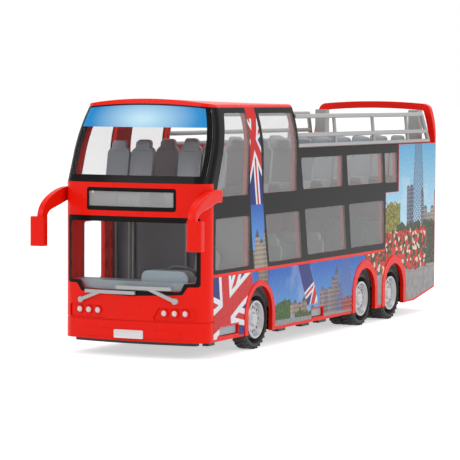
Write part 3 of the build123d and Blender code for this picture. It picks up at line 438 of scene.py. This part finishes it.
def block(size, place, turn=(0.0, 0.0, 0.0)):
    """A block in millimetres, its place measured from the nose, turned in degrees."""
    made = begin(
        bpy.ops.mesh.primitive_cube_add,
        size=1.0,
        location=(mm(place[0]), nose + mm(place[1]), mm(place[2])),
        rotation=[radians(angle) for angle in turn],
    )
    made.scale = [mm(length) for length in size]
    bpy.ops.object.transform_apply(location=False, rotation=False, scale=True)
    return made


half_width = 35.7
film_thickness = 0.12
film_corner = 0.6
arch_clearance = 0.2
cutter_depth = 10.0
front_axle_back = 58.0
middle_axle_back = 180.6
rear_axle_back = 218.9
arch_rows = [(front_axle_back, 16.0, 31.4), (middle_axle_back, 16.3, 33.1), (rear_axle_back, 16.3, 33.1)]


def side_film(outline, hand):
    """Film on an upright side, bisected to a convex outline of (back, up) corners, in millimetres."""
    backs = [back for back, up in outline]
    ups = [up for back, up in outline]
    middle = (hand * mm(half_width), nose + mm(min(backs) + max(backs)) / 2, mm(min(ups) + max(ups)) / 2)
    film = begin(
        bpy.ops.mesh.primitive_plane_add, size=1.0, location=middle, rotation=(0, hand * radians(90), 0)
    )
    film.scale = (mm(max(ups) - min(ups)) + 0.002, mm(max(backs) - min(backs)) + 0.002, 1)
    bpy.ops.object.transform_apply(location=True, rotation=True, scale=True)
    bpy.ops.object.mode_set(mode="EDIT")
    for first, second in zip(outline, outline[1:] + outline[:1]):
        outward = Vector((0, second[1] - first[1], first[0] - second[0]))
        bpy.ops.mesh.select_all(action="SELECT")
        bpy.ops.mesh.bisect(
            plane_co=(0, nose + mm(first[0]), mm(first[1])),
            plane_no=outward.normalized(),
            clear_outer=True,
        )
    bpy.ops.mesh.select_all(action="SELECT")
    bpy.ops.mesh.bevel(offset=mm(film_corner), segments=5, affect="VERTICES")
    bpy.ops.object.mode_set(mode="OBJECT")
    apply_modifier(film, "SOLIDIFY", thickness=mm(film_thickness), offset=1.0)
    apply_modifier(film, "TRIANGULATE", quad_method="BEAUTY")
    return film


def cut_opening(film, hand, front, rear, low, high):
    size = (cutter_depth, rear - front, high - low)
    cut_away(film, block(size, (hand * half_width, (front + rear) / 2, (low + high) / 2)))


def clear_arches(film, hand):
    for back, arch_half, arch_top in arch_rows:
        reach = arch_half + arch_clearance
        axis_height = arch_top - arch_half
        disc = begin(
            bpy.ops.mesh.primitive_cylinder_add,
            vertices=96,
            radius=mm(reach),
            depth=mm(cutter_depth),
            location=(hand * mm(half_width), nose + mm(back), mm(axis_height)),
            rotation=(0, radians(90), 0),
        )
        cut_away(film, disc)
        cut_opening(film, hand, back - reach, back + reach, 0.0, axis_height)


def printed_film(name, build_art):
    material = bpy.data.materials.new(name)
    material.use_nodes = True
    tree = material.node_tree
    shader = tree.nodes["Principled BSDF"]
    place, out, back, up = place_in_mm(tree)
    tree.links.new(build_art(tree, place, back, up), shader.inputs["Base Color"])
    grain = noise(tree, place, 500.0, 2.0)
    tree.links.new(maths(tree, "MULTIPLY_ADD", grain, 0.12, 0.22), shader.inputs["Roughness"])
    shader.inputs["Specular IOR Level"].default_value = 0.12
    return material


def stripe(tree, back, up, centre, angle, width):
    """Share 1 within half a width of a line through centre, which climbs towards the rear at angle."""
    along = maths(tree, "MULTIPLY", maths(tree, "SUBTRACT", back, centre[0]), -sin(radians(angle)))
    gap = maths(tree, "MULTIPLY_ADD", maths(tree, "SUBTRACT", up, centre[1]), cos(radians(angle)), along)
    return maths(tree, "LESS_THAN", maths(tree, "ABSOLUTE", gap), width / 2)


def between(tree, value, low, high):
    past_low = maths(tree, "GREATER_THAN", value, low)
    return maths(tree, "MULTIPLY", past_low, maths(tree, "LESS_THAN", value, high))


def by_chance(tree, value):
    return add_node(tree, "ShaderNodeTexWhiteNoise", {"W": value}, noise_dimensions="1D").outputs["Value"]


flag_navy = (0.018, 0.030, 0.20, 1.0)
flag_red = (0.62, 0.018, 0.016, 1.0)
flag_white = (0.82, 0.83, 0.86, 1.0)


def striped_flag(tree, place, back, up, centre, rise, upright, size):
    """Crossed white-edged red stripes on navy, as on a flag in the wind."""
    sway = maths(tree, "MULTIPLY_ADD", noise(tree, place, 25.0, 1.0), 5.0 * size, -2.5 * size)
    moved = maths(tree, "ADD", up, sway)
    colour = flag_navy
    for angle, width, ink in (
        (rise + 32, 7.4 * size, flag_white),
        (rise - 38, 7.4 * size, flag_white),
        (rise + 32, 2.6 * size, flag_red),
        (rise - 38, 2.6 * size, flag_red),
        (rise, 12.6 * size, flag_white),
        (upright, 12.0 * size, flag_white),
        (rise, 7.8 * size, flag_red),
        (upright, 7.2 * size, flag_red),
    ):
        colour = colours(tree, stripe(tree, back, moved, centre, angle, width), colour, ink)
    shade = maths(tree, "MULTIPLY_ADD", noise(tree, place, 60.0, 2.0), 0.7, 0.1)
    return colours(tree, maths(tree, "MULTIPLY", shade, 0.25), colour, (0.01, 0.01, 0.02, 1.0))


def open_sky(tree, place, up, low, high, deep, pale):
    blue = colours(tree, ramp(tree, up, low, high), pale, deep)
    cloud = ramp(tree, noise(tree, place, 45.0, 5.0), 0.55, 0.75)
    return colours(tree, maths(tree, "MULTIPLY", cloud, 0.4), blue, (0.80, 0.85, 0.92, 1.0))


def houses(tree, place, back, up, sky, span, foot, least, most, light, dark, seed, wide=5.2):
    """A row of old town houses of different heights, with pointed gables and small windows."""
    lots = maths(tree, "DIVIDE", back, wide)
    lot = maths(tree, "FLOOR", lots)
    chance = by_chance(tree, maths(tree, "ADD", lot, seed))
    from_ridge = maths(tree, "ABSOLUTE", maths(tree, "SUBTRACT", maths(tree, "FRACT", lots), 0.5))
    steepness = maths(tree, "MULTIPLY", chance, wide * 2.2)
    gable = maths(tree, "MULTIPLY", maths(tree, "SUBTRACT", 0.5, from_ridge), steepness)
    eaves = maths(tree, "MULTIPLY_ADD", chance, most - least, least)
    roof_line = maths(tree, "ADD", eaves, gable)
    inside = maths(
        tree, "MULTIPLY", maths(tree, "LESS_THAN", up, roof_line), between(tree, back, span[0], span[1])
    )
    inside = maths(tree, "MULTIPLY", inside, maths(tree, "GREATER_THAN", up, foot))
    wall = colours(tree, by_chance(tree, maths(tree, "ADD", lot, seed + 50.0)), light, dark)
    across = maths(tree, "FRACT", maths(tree, "DIVIDE", back, wide / 4))
    storey = maths(tree, "FRACT", maths(tree, "DIVIDE", up, 2.1))
    panes = maths(tree, "MULTIPLY", between(tree, across, 0.32, 0.68), between(tree, storey, 0.25, 0.75))
    ledge = maths(tree, "GREATER_THAN", storey, 0.9)
    wall = colours(tree, maths(tree, "MULTIPLY", ledge, 0.5), wall, (0.62, 0.58, 0.52, 1.0))
    wall = colours(tree, maths(tree, "MULTIPLY", panes, 0.75), wall, (0.03, 0.035, 0.05, 1.0))
    worn = maths(tree, "MULTIPLY", noise(tree, place, 400.0, 3.0), 0.45)
    wall = colours(tree, worn, wall, (0.07, 0.055, 0.05, 1.0))
    slates = colours(tree, noise(tree, place, 900.0, 2.0), (0.03, 0.035, 0.05, 1.0), (0.14, 0.13, 0.14, 1.0))
    wall = colours(tree, maths(tree, "GREATER_THAN", up, eaves), wall, slates)
    return colours(tree, inside, sky, wall)


def trees(tree, place, back, up, under, span, foot, top, light, dark):
    """Leafy crowns with a ragged top, light and dark leaves mixed at random."""
    ragged = maths(tree, "MULTIPLY_ADD", noise(tree, place, 230.0, 5.0), 12.0, top - 6.0)
    below = maths(tree, "LESS_THAN", up, ragged)
    inside = maths(tree, "MULTIPLY", below, between(tree, back, span[0], span[1]))
    inside = maths(tree, "MULTIPLY", inside, maths(tree, "GREATER_THAN", up, foot))
    leaf_share = ramp(tree, noise(tree, place, 900.0, 5.0), 0.36, 0.64)
    return colours(tree, inside, under, colours(tree, leaf_share, dark, light))


def lattice(tree, place, back, up, under, centre, wide, foot, top, ink):
    """An iron tower that narrows as it rises, crossed by diagonal braces."""
    risen = maths(tree, "DIVIDE", maths(tree, "SUBTRACT", up, foot), top - foot)
    half = maths(tree, "MULTIPLY_ADD", risen, -0.42 * wide, 0.5 * wide)
    off = maths(tree, "SUBTRACT", back, centre)
    beside = maths(tree, "LESS_THAN", maths(tree, "ABSOLUTE", off), half)
    inside = maths(tree, "MULTIPLY", beside, between(tree, up, foot, top))
    first = maths(tree, "FRACT", maths(tree, "DIVIDE", maths(tree, "ADD", off, up), 2.4))
    second = maths(tree, "FRACT", maths(tree, "DIVIDE", maths(tree, "SUBTRACT", up, off), 2.4))
    brace = 0.34
    bars = maths(tree, "LESS_THAN", maths(tree, "MINIMUM", first, second), brace)
    edge = maths(tree, "GREATER_THAN", maths(tree, "ABSOLUTE", off), maths(tree, "SUBTRACT", half, 0.7))
    solid = maths(tree, "MULTIPLY", inside, maths(tree, "MAXIMUM", bars, edge))
    return colours(tree, solid, under, ink)


def front_art(tree, place, back, up):
    flag = striped_flag(tree, place, back, up, (24.0, 21.0), 24.0, 97.0, 1.0)
    sky = open_sky(tree, place, up, 26.0, 36.0, (0.020, 0.10, 0.42, 1.0), (0.06, 0.20, 0.52, 1.0))
    town = houses(
        tree, place, back, up, sky, (56.5, 66.0), 10.0, 34.0, 38.0,
        (0.30, 0.22, 0.16, 1), (0.20, 0.15, 0.12, 1), 3.0,
    )
    beyond = maths(tree, "MULTIPLY_ADD", up, -0.25, 58.0)
    return colours(tree, maths(tree, "GREATER_THAN", back, beyond), flag, town)


def street_art(tree, place, back, up):
    colour = open_sky(tree, place, up, 12.0, 34.0, (0.018, 0.12, 0.46, 1.0), (0.13, 0.34, 0.66, 1.0))
    colour = houses(
        tree, place, back, up, colour, (86.0, 110.0), 12.0, 15.0, 23.0,
        (0.50, 0.38, 0.26, 1), (0.30, 0.22, 0.16, 1), 4.0,
    )
    colour = trees(
        tree, place, back, up, colour, (67.0, 91.0), 9.0, 20.0,
        (0.07, 0.17, 0.03, 1), (0.008, 0.03, 0.010, 1),
    )
    colour = trees(
        tree, place, back, up, colour, (96.0, 128.0), 9.0, 14.0,
        (0.09, 0.18, 0.04, 1), (0.012, 0.03, 0.012, 1),
    )
    pennants = striped_flag(tree, place, back, up, (122.0, 27.0), 62.0, 118.0, 0.5)
    slant = maths(tree, "MULTIPLY_ADD", up, -0.55, 127.0)
    lean = maths(tree, "SUBTRACT", back, slant)
    share = maths(tree, "MULTIPLY", between(tree, lean, -8.0, 5.0), maths(tree, "GREATER_THAN", up, 16.0))
    colour = colours(tree, share, colour, pennants)
    colour = houses(
        tree, place, back, up, colour, (124.5, 150.0), 9.0, 20.0, 30.0,
        (0.34, 0.27, 0.26, 1), (0.16, 0.13, 0.18, 1), 9.0, 4.2,
    )
    colour = lattice(tree, place, back, up, colour, 156.0, 22.0, 9.0, 44.0, (0.08, 0.12, 0.32, 1))
    colour = houses(
        tree, place, back, up, colour, (150.5, 166.5), 9.0, 15.0, 20.0,
        (0.50, 0.03, 0.03, 1), (0.32, 0.04, 0.05, 1), 5.0, 4.6,
    )
    paving = maths(tree, "LESS_THAN", up, maths(tree, "MULTIPLY_ADD", back, -0.022, 13.3))
    stone = colours(tree, noise(tree, place, 500.0, 4.0), (0.16, 0.16, 0.16, 1), (0.40, 0.39, 0.38, 1))
    return colours(tree, paving, colour, stone)


def park_art(tree, place, back, up):
    colour = open_sky(tree, place, up, 50.0, 90.0, (0.10, 0.38, 0.62, 1.0), (0.45, 0.70, 0.84, 1.0))
    colour = lattice(tree, place, back, up, colour, 252.0, 20.0, 40.0, 120.0, (0.10, 0.14, 0.24, 1))
    colour = houses(
        tree, place, back, up, colour, (236.0, 245.5), 30.0, 66.0, 74.0,
        (0.16, 0.20, 0.30, 1), (0.10, 0.13, 0.20, 1), 2.0, 4.8,
    )
    colour = houses(
        tree, place, back, up, colour, (256.5, 277.0), 20.0, 52.0, 64.0,
        (0.40, 0.36, 0.30, 1), (0.16, 0.16, 0.20, 1), 7.0, 5.0,
    )
    colour = trees(
        tree, place, back, up, colour, (181.0, 227.0), 34.0, 60.0,
        (0.40, 0.36, 0.05, 1), (0.035, 0.035, 0.015, 1),
    )
    colour = trees(
        tree, place, back, up, colour, (222.0, 278.0), 26.0, 49.0,
        (0.07, 0.10, 0.04, 1), (0.008, 0.010, 0.008, 1),
    )
    ragged = maths(tree, "MULTIPLY_ADD", noise(tree, place, 200.0, 3.0), 9.0, 41.0)
    bed = maths(tree, "MULTIPLY", between(tree, back, 181.0, 264.0), maths(tree, "LESS_THAN", up, ragged))
    cells = add_node(tree, "ShaderNodeTexVoronoi", {"Vector": place, "Scale": 520.0}).outputs["Color"]
    split = add_node(tree, "ShaderNodeSeparateColor", {0: cells}).outputs[0]
    leaf = colours(tree, noise(tree, place, 900.0, 3.0), (0.008, 0.010, 0.006, 1), (0.05, 0.09, 0.02, 1))
    bloom = colours(tree, maths(tree, "GREATER_THAN", split, 0.48), leaf, (0.62, 0.015, 0.012, 1))
    bloom = colours(tree, maths(tree, "GREATER_THAN", split, 0.88), bloom, (0.78, 0.60, 0.45, 1))
    colour = colours(tree, bed, colour, bloom)
    low = maths(tree, "MULTIPLY_ADD", noise(tree, place, 130.0, 2.0), 7.0, 21.0)
    path = maths(tree, "LESS_THAN", up, low)
    stone = colours(tree, noise(tree, place, 300.0, 4.0), (0.12, 0.12, 0.13, 1), (0.44, 0.42, 0.42, 1))
    return colours(tree, path, colour, stone)


def pillar_art(tree, place, back, up):
    colour = open_sky(tree, place, up, 44.0, 68.0, (0.020, 0.09, 0.42, 1.0), (0.13, 0.34, 0.70, 1.0))
    colour = houses(
        tree, place, back, up, colour, (50.5, 66.0), 30.0, 44.0, 53.0,
        (0.44, 0.36, 0.28, 1), (0.30, 0.24, 0.20, 1), 1.0, 4.4,
    )
    flag = striped_flag(tree, place, back, up, (51.0, 95.0), 68.0, 128.0, 0.62)
    return colours(tree, maths(tree, "GREATER_THAN", up, 66.0), colour, flag)


dress(["left_glazing"], clear_plastic("left_band", band_print(band_windows), 0.13, 0.91))
dress(["right_glazing"], clear_plastic("right_band", band_print(kerb_windows), 0.04, 0.95))

low_edge = 8.6
top_edge = 35.6
film_rows = [
    ("front_film", front_art, [(11.2, low_edge), (66.8, low_edge), (66.8, top_edge), (11.2, top_edge)]),
    ("street_film", street_art, [(67.2, 9.0), (181.0, 9.0), (181.0, top_edge), (67.2, top_edge)]),
    ("wheel_film", park_art, [(181.0, 9.0), (207.2, 9.0), (207.2, top_edge), (181.0, top_edge)]),
    ("park_film", park_art, [(207.3, 8.6), (246.0, 8.6), (276.4, 13.6), (276.4, 90.0), (207.3, 90.0)]),
]
pictures = {name: printed_film(name + "_print", art) for name, art, outline in film_rows}
doorways = [(14.5, 40.0), (109.5, 135.0)]
notches = [(17.0, 36.5, 8.3, 14.3), (114.9, 129.7, 8.3, 14.3)]
doorway_cuts = [(front - 0.8, rear + 0.8, 10.2, 62.0) for front, rear in doorways]
glazing_step = (204.7, 224.7, 65.65, 95.65)
for hand, word, openings in ((1, "left", notches), (-1, "right", doorway_cuts)):
    for name, art, outline in film_rows:
        film = side_film(outline, hand)
        if name == "park_film":
            cut_opening(film, hand, *glazing_step)
        clear_arches(film, hand)
        if name in ("front_film", "street_film"):
            for opening in openings:
                cut_opening(film, hand, *opening)
        finish_piece(film, word + "_" + name, pictures[name])


# Seats: two-seat benches moulded in blue-grey plastic, each place with a hollowed back, rounded shoulders
# and a headrest. Rows of them stand on both decks, and a single one is the driver's.
def pick(piece, kind, test):
    """In edit mode, select only the faces or edges whose middle and direction pass a test."""
    select_only(piece)
    bpy.ops.object.mode_set(mode="EDIT")
    bpy.ops.mesh.select_mode(type=kind)
    bpy.ops.mesh.select_all(action="DESELECT")
    bpy.ops.object.mode_set(mode="OBJECT")
    points = piece.data.vertices
    if kind == "FACE":
        for face in piece.data.polygons:
            face.select = bool(test(face.center, face.normal))
    else:
        for edge in piece.data.edges:
            first, second = (points[index].co for index in edge.vertices)
            edge.select = bool(test((first + second) / 2, (second - first).normalized()))
    bpy.ops.object.mode_set(mode="EDIT")


def settle(piece):
    bpy.ops.object.mode_set(mode="OBJECT")
    select_only(piece)
    bpy.ops.object.transform_apply(location=True, rotation=True, scale=True)


def joined(pieces):
    select_only(pieces[0])
    if len(pieces) > 1:
        for piece in pieces:
            piece.select_set(True)
        bpy.ops.object.join()
    return bpy.context.active_object


def copied(piece, offset):
    twin = piece.copy()
    twin.data = piece.data.copy()
    bpy.context.scene.collection.objects.link(twin)
    twin.location = [mm(step) for step in offset]
    select_only(twin)
    bpy.ops.object.transform_apply(location=True, rotation=False, scale=False)
    return twin


def smoothed(piece, angle=35.0):
    select_only(piece)
    bpy.ops.object.shade_smooth_by_angle(angle=radians(angle))
    return piece


seat_wide = 11.4


def single_seat():
    """One seat at the nose line on the ground: kick panel, cushion, raked back and headrest."""
    panel = block((seat_wide, 9.4, 7.4), (0, 6.3, 3.7))
    cushion = block((seat_wide, 11.6, 2.6), (0, 5.9, 7.7), (2.0, 0, 0))
    pick(cushion, "FACE", lambda middle, normal: normal.z > 0.9)
    bpy.ops.mesh.inset(thickness=mm(1.4))
    bpy.ops.transform.translate(value=(0, 0, -mm(0.6)))
    settle(cushion)
    back = block((seat_wide, 2.5, 17.6), (0, 14.3, 17.0), (-10.0, 0, 0))
    pick(back, "EDGE", lambda middle, along: abs(along.y) > 0.9 and middle.z > 0)
    bpy.ops.mesh.bevel(offset=mm(3.0), segments=5)
    bpy.ops.object.mode_set(mode="OBJECT")
    pick(back, "FACE", lambda middle, normal: normal.y < -0.9)
    bpy.ops.mesh.inset(thickness=mm(1.5))
    bpy.ops.transform.translate(value=(0, mm(0.7), 0))
    bpy.ops.object.mode_set(mode="OBJECT")
    pick(back, "FACE", lambda middle, normal: normal.y > 0.9)
    bpy.ops.mesh.inset(thickness=mm(1.6))
    bpy.ops.transform.translate(value=(0, -mm(0.5), 0))
    settle(back)
    head = block((7.3, 2.3, 4.6), (0, 15.9, 26.6), (-6.0, 0, 0))
    pick(head, "EDGE", lambda middle, along: abs(along.y) > 0.9 and middle.z > 0)
    bpy.ops.mesh.bevel(offset=mm(1.6), segments=4)
    settle(head)
    for part, radius in ((panel, 0.3), (cushion, 0.7), (back, 0.5), (head, 0.5)):
        apply_modifier(
            part, "BEVEL", width=mm(radius), segments=3, limit_method="ANGLE", angle_limit=radians(40)
        )
        settle(part)
    return smoothed(joined([panel, cushion, back, head]), 40.0)


seat_pattern = single_seat()
seat_blue_grey = moulded("seat_blue_grey", (0.33, 0.37, 0.40), 0.36, mottle=0.05)
deck_top = 65.4
floor_top = 19.6
upper_rows = [22.5 + 24 * row for row in range(10)]
seat_groups = [
    ("upper_benches", "upper_seats", upper_rows, (-25.9, -13.7, 10.7, 22.9), deck_top),
    ("lower_benches", "lower_seats", [80, 104, 128, 236], (-23.7, -10.7, 10.7, 23.7), floor_top),
    ("driver_bench", "driver_seat", [27], (17.0,), floor_top),
]
for name, node, rows, places, floor in seat_groups:
    seats = [copied(seat_pattern, (out, row, floor)) for row in rows for out in places]
    bench = finish_piece(joined(seats), name, seat_blue_grey)
    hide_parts(node)
bpy.data.objects.remove(seat_pattern)


# Tyres: soft black plastic, singles in front and twins behind, with slanted tread lugs in two staggered
# rows and a bulged side wall. Each axle's tyres turn with it.
tyre_radius = 13.5
tyre_wide = 7.0
tyre_face = 33.8
lugs = 28
lug_offset = 1.62
lug_lean = 24.0
tyre_black = moulded("tyre_black", (0.060, 0.057, 0.056), 0.60, ripple=0.00010, shine=0.3)


def single_tyre():
    """One tyre about the x axis, centred on the nose line on the ground."""
    carcass = begin(
        bpy.ops.mesh.primitive_cylinder_add,
        vertices=88,
        radius=mm(tyre_radius - 0.4),
        depth=mm(tyre_wide - 0.6),
        location=(0, nose, 0),
        rotation=(0, radians(90), 0),
    )
    settle(carcass)
    pick(carcass, "EDGE", lambda middle, along: abs(along.x) < 0.1)
    bpy.ops.mesh.bevel(offset=mm(1.2), segments=4)
    bpy.ops.object.mode_set(mode="OBJECT")
    pick(carcass, "FACE", lambda middle, normal: abs(normal.x) > 0.95)
    bpy.ops.mesh.inset(thickness=mm(0.9))
    bpy.ops.transform.resize(value=(1.07, 1.0, 1.0))
    bpy.ops.mesh.inset(thickness=mm(0.8))
    bpy.ops.mesh.inset(thickness=mm(1.3))
    bpy.ops.transform.resize(value=(0.93, 1.0, 1.0))
    bpy.ops.mesh.delete(type="FACE")
    bpy.ops.mesh.select_mode(type="EDGE")
    bpy.ops.mesh.select_non_manifold()
    bpy.ops.mesh.bridge_edge_loops()
    bpy.ops.object.mode_set(mode="OBJECT")
    parts = [carcass]
    for row in (-1, 1):
        for step in range(lugs):
            turn = 360.0 * (step + 0.25 * row) / lugs
            reach = tyre_radius - 0.45
            lug = block(
                (3.3, 2.0, 0.9),
                (row * lug_offset, reach * sin(radians(turn)), reach * cos(radians(turn))),
            )
            leant = Matrix.Rotation(radians(-row * lug_lean), 3, "Z")
            lug.rotation_euler = (Matrix.Rotation(radians(-turn), 3, "X") @ leant).to_euler()
            pick(lug, "FACE", lambda middle, normal: normal.z > 0.9)
            bpy.ops.transform.resize(value=(0.9, 0.8, 1.0))
            settle(lug)
            parts.append(lug)
    return smoothed(joined(parts), 40.0)


tyre_pattern = single_tyre()
axle_rows = [("front", front_axle_back, 1), ("middle", middle_axle_back, 2), ("rear", rear_axle_back, 2)]
for name, distance, twins in axle_rows:
    tyres = []
    for hand in (-1, 1):
        for twin in range(twins):
            out = hand * (tyre_face - tyre_wide / 2 - twin * tyre_wide)
            tyres.append(copied(tyre_pattern, (out, distance, tyre_radius)))
    set_of_tyres = finish_piece(joined(tyres), name + "_tread", tyre_black, name + "_wheels")
    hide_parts(name + "_tyres")
bpy.data.objects.remove(tyre_pattern)


# Headlamps: three round lamps a side, each a red bezel with a domed pale lens in it, pressed into the
# lamp panel.
lamp_height = 20.2
lamp_radius = 1.9
lens_radius = 1.36
nose_bow = 165.0
lamp_rings = []
lamp_domes = []
for out in (-26.3, -21.4, -16.5, 16.5, 21.4, 26.3):
    face = out * out / (2 * nose_bow)
    ring = begin(
        bpy.ops.mesh.primitive_cylinder_add,
        vertices=48,
        radius=mm(lamp_radius),
        depth=mm(2.2),
        location=(mm(out), nose + mm(face + 1.2), mm(lamp_height)),
        rotation=(radians(90), 0, 0),
    )
    settle(ring)
    pick(ring, "FACE", lambda middle, normal: normal.y < -0.9)
    bpy.ops.mesh.inset(thickness=mm(0.15))
    bpy.ops.transform.translate(value=(0, -mm(0.15), 0))
    bpy.ops.mesh.inset(thickness=mm(0.35))
    bpy.ops.mesh.inset(thickness=mm(0.1))
    bpy.ops.transform.translate(value=(0, mm(0.6), 0))
    settle(ring)
    lamp_rings.append(ring)
    dome = begin(
        bpy.ops.mesh.primitive_uv_sphere_add,
        segments=32,
        ring_count=16,
        radius=mm(lens_radius),
        location=(mm(out), nose + mm(face + 0.4), mm(lamp_height)),
    )
    dome.scale = (1.0, 0.42, 1.0)
    settle(dome)
    bpy.ops.object.mode_set(mode="EDIT")
    bpy.ops.mesh.select_all(action="SELECT")
    bpy.ops.mesh.bisect(
        plane_co=(0, nose + mm(face + 0.5), 0), plane_no=(0, 1, 0), clear_outer=True, use_fill=True
    )
    settle(dome)
    lamp_domes.append(dome)
bezels = finish_piece(smoothed(joined(lamp_rings)), "lamp_bezels", red_plastic)
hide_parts("headlamps")
lens_clear = moulded("lens_clear", (0.66, 0.62, 0.62), 0.08, mottle=0.2, shine=0.5)
lenses = finish_piece(smoothed(joined(lamp_domes)), "lamp_lenses", lens_clear)


# Number plates: blank white plates with a raised rim, one on the bumper and one on the tail.
plate_white = moulded("plate_white", (0.72, 0.72, 0.72), 0.30, mottle=0.04)
for name, back, up, facing in (("front_plate", -0.65, 10.5, -1), ("rear_plate", 280.2, 16.6, 1)):
    plate = block((14.4, 0.5, 3.7), (0, back, up))
    pick(plate, "EDGE", lambda middle, along: abs(along.y) > 0.9)
    bpy.ops.mesh.bevel(offset=mm(0.5), segments=4)
    bpy.ops.object.mode_set(mode="OBJECT")
    pick(plate, "FACE", lambda middle, normal: normal.y * facing > 0.9)
    bpy.ops.mesh.inset(thickness=mm(0.35))
    bpy.ops.transform.translate(value=(0, -facing * mm(0.18), 0))
    settle(plate)
    finish_piece(smoothed(plate), name, plate_white)


# Small trim: mirror glasses behind the heads, pulls on the doors, wheel bolts, upright grab rails ahead of
# the wall behind the driver, and a dark plate that closes the tail behind its louvres.
mirror_silver = moulded("mirror_silver", (0.60, 0.62, 0.64), 0.07, shine=0.5)
mirror_silver.node_tree.nodes["Principled BSDF"].inputs["Metallic"].default_value = 0.9
for hand, word in ((1, "left"), (-1, "right")):
    pane = block((5.4, 0.3, 11.0), (hand * 38.6, -9.55, 55.1))
    pick(pane, "EDGE", lambda middle, along: abs(along.y) > 0.9)
    bpy.ops.mesh.bevel(offset=mm(1.0), segments=4)
    bpy.ops.object.mode_set(mode="OBJECT")
    pick(pane, "FACE", lambda middle, normal: normal.y > 0.9)
    bpy.ops.mesh.inset(thickness=mm(0.3))
    bpy.ops.transform.translate(value=(0, mm(0.1), 0))
    settle(pane)
    finish_piece(smoothed(pane), word + "_mirror_glass", mirror_silver)

for name, (front, rear) in zip(("front_door", "middle_door"), doorways):
    pull = block((0.7, 0.9, 9.0), (-35.15, rear - 1.8, 36.0))
    pick(pull, "EDGE", lambda middle, along: middle.x < 0)
    bpy.ops.mesh.bevel(offset=mm(0.25), segments=3)
    settle(pull)
    finish_piece(smoothed(pull), name + "_pull", rail_silver, name + "_leaf")

bolts_a_hub = 8
bolt_circle = 5.4
for name, distance, twins in axle_rows:
    bolts = []
    for hand in (-1, 1):
        for step in range(bolts_a_hub):
            turn = radians(360 / bolts_a_hub * (step + 0.5))
            bolt = begin(
                bpy.ops.mesh.primitive_cylinder_add,
                vertices=6,
                radius=mm(0.45),
                depth=mm(0.9),
                location=(
                    hand * mm(tyre_face - 1.4),
                    nose + mm(distance + bolt_circle * sin(turn)),
                    mm(tyre_radius + bolt_circle * cos(turn)),
                ),
                rotation=(0, radians(90), 0),
            )
            settle(bolt)
            pick(bolt, "FACE", lambda middle, normal: normal.x * hand > 0.9)
            bpy.ops.mesh.inset(thickness=mm(0.12))
            bpy.ops.transform.translate(value=(hand * mm(0.12), 0, 0))
            settle(bolt)
            bolts.append(bolt)
    bolt_ring = finish_piece(joined(bolts), name + "_wheel_bolts", hub_silver, name + "_wheels")

rail_length = 44.0
rails = []
for out, back in ((-31.6, 44.6), (-24.4, 44.6), (-22.6, 44.9), (5.0, 44.6)):
    rail = begin(
        bpy.ops.mesh.primitive_cylinder_add,
        vertices=24,
        radius=mm(0.6),
        depth=mm(rail_length),
        location=(mm(out), nose + mm(back), mm(floor_top + rail_length / 2)),
    )
    settle(rail)
    pick(rail, "FACE", lambda middle, normal: abs(normal.z) > 0.9)
    bpy.ops.mesh.inset(thickness=mm(0.02))
    bpy.ops.transform.resize(value=(1.6, 1.6, 1.0))
    settle(rail)
    rails.append(rail)
backing = block((46.0, 0.8, 30.0), (0, 276.6, 33.5))
pick(backing, "FACE", lambda middle, normal: normal.y > 0.9)
bpy.ops.mesh.inset(thickness=mm(2.0))
bpy.ops.transform.translate(value=(0, -mm(0.3), 0))
settle(backing)
finish_piece(backing, "louvre_backing", pan_black)
grab_rails = finish_piece(smoothed(joined(rails)), "grab_rails", rail_silver)
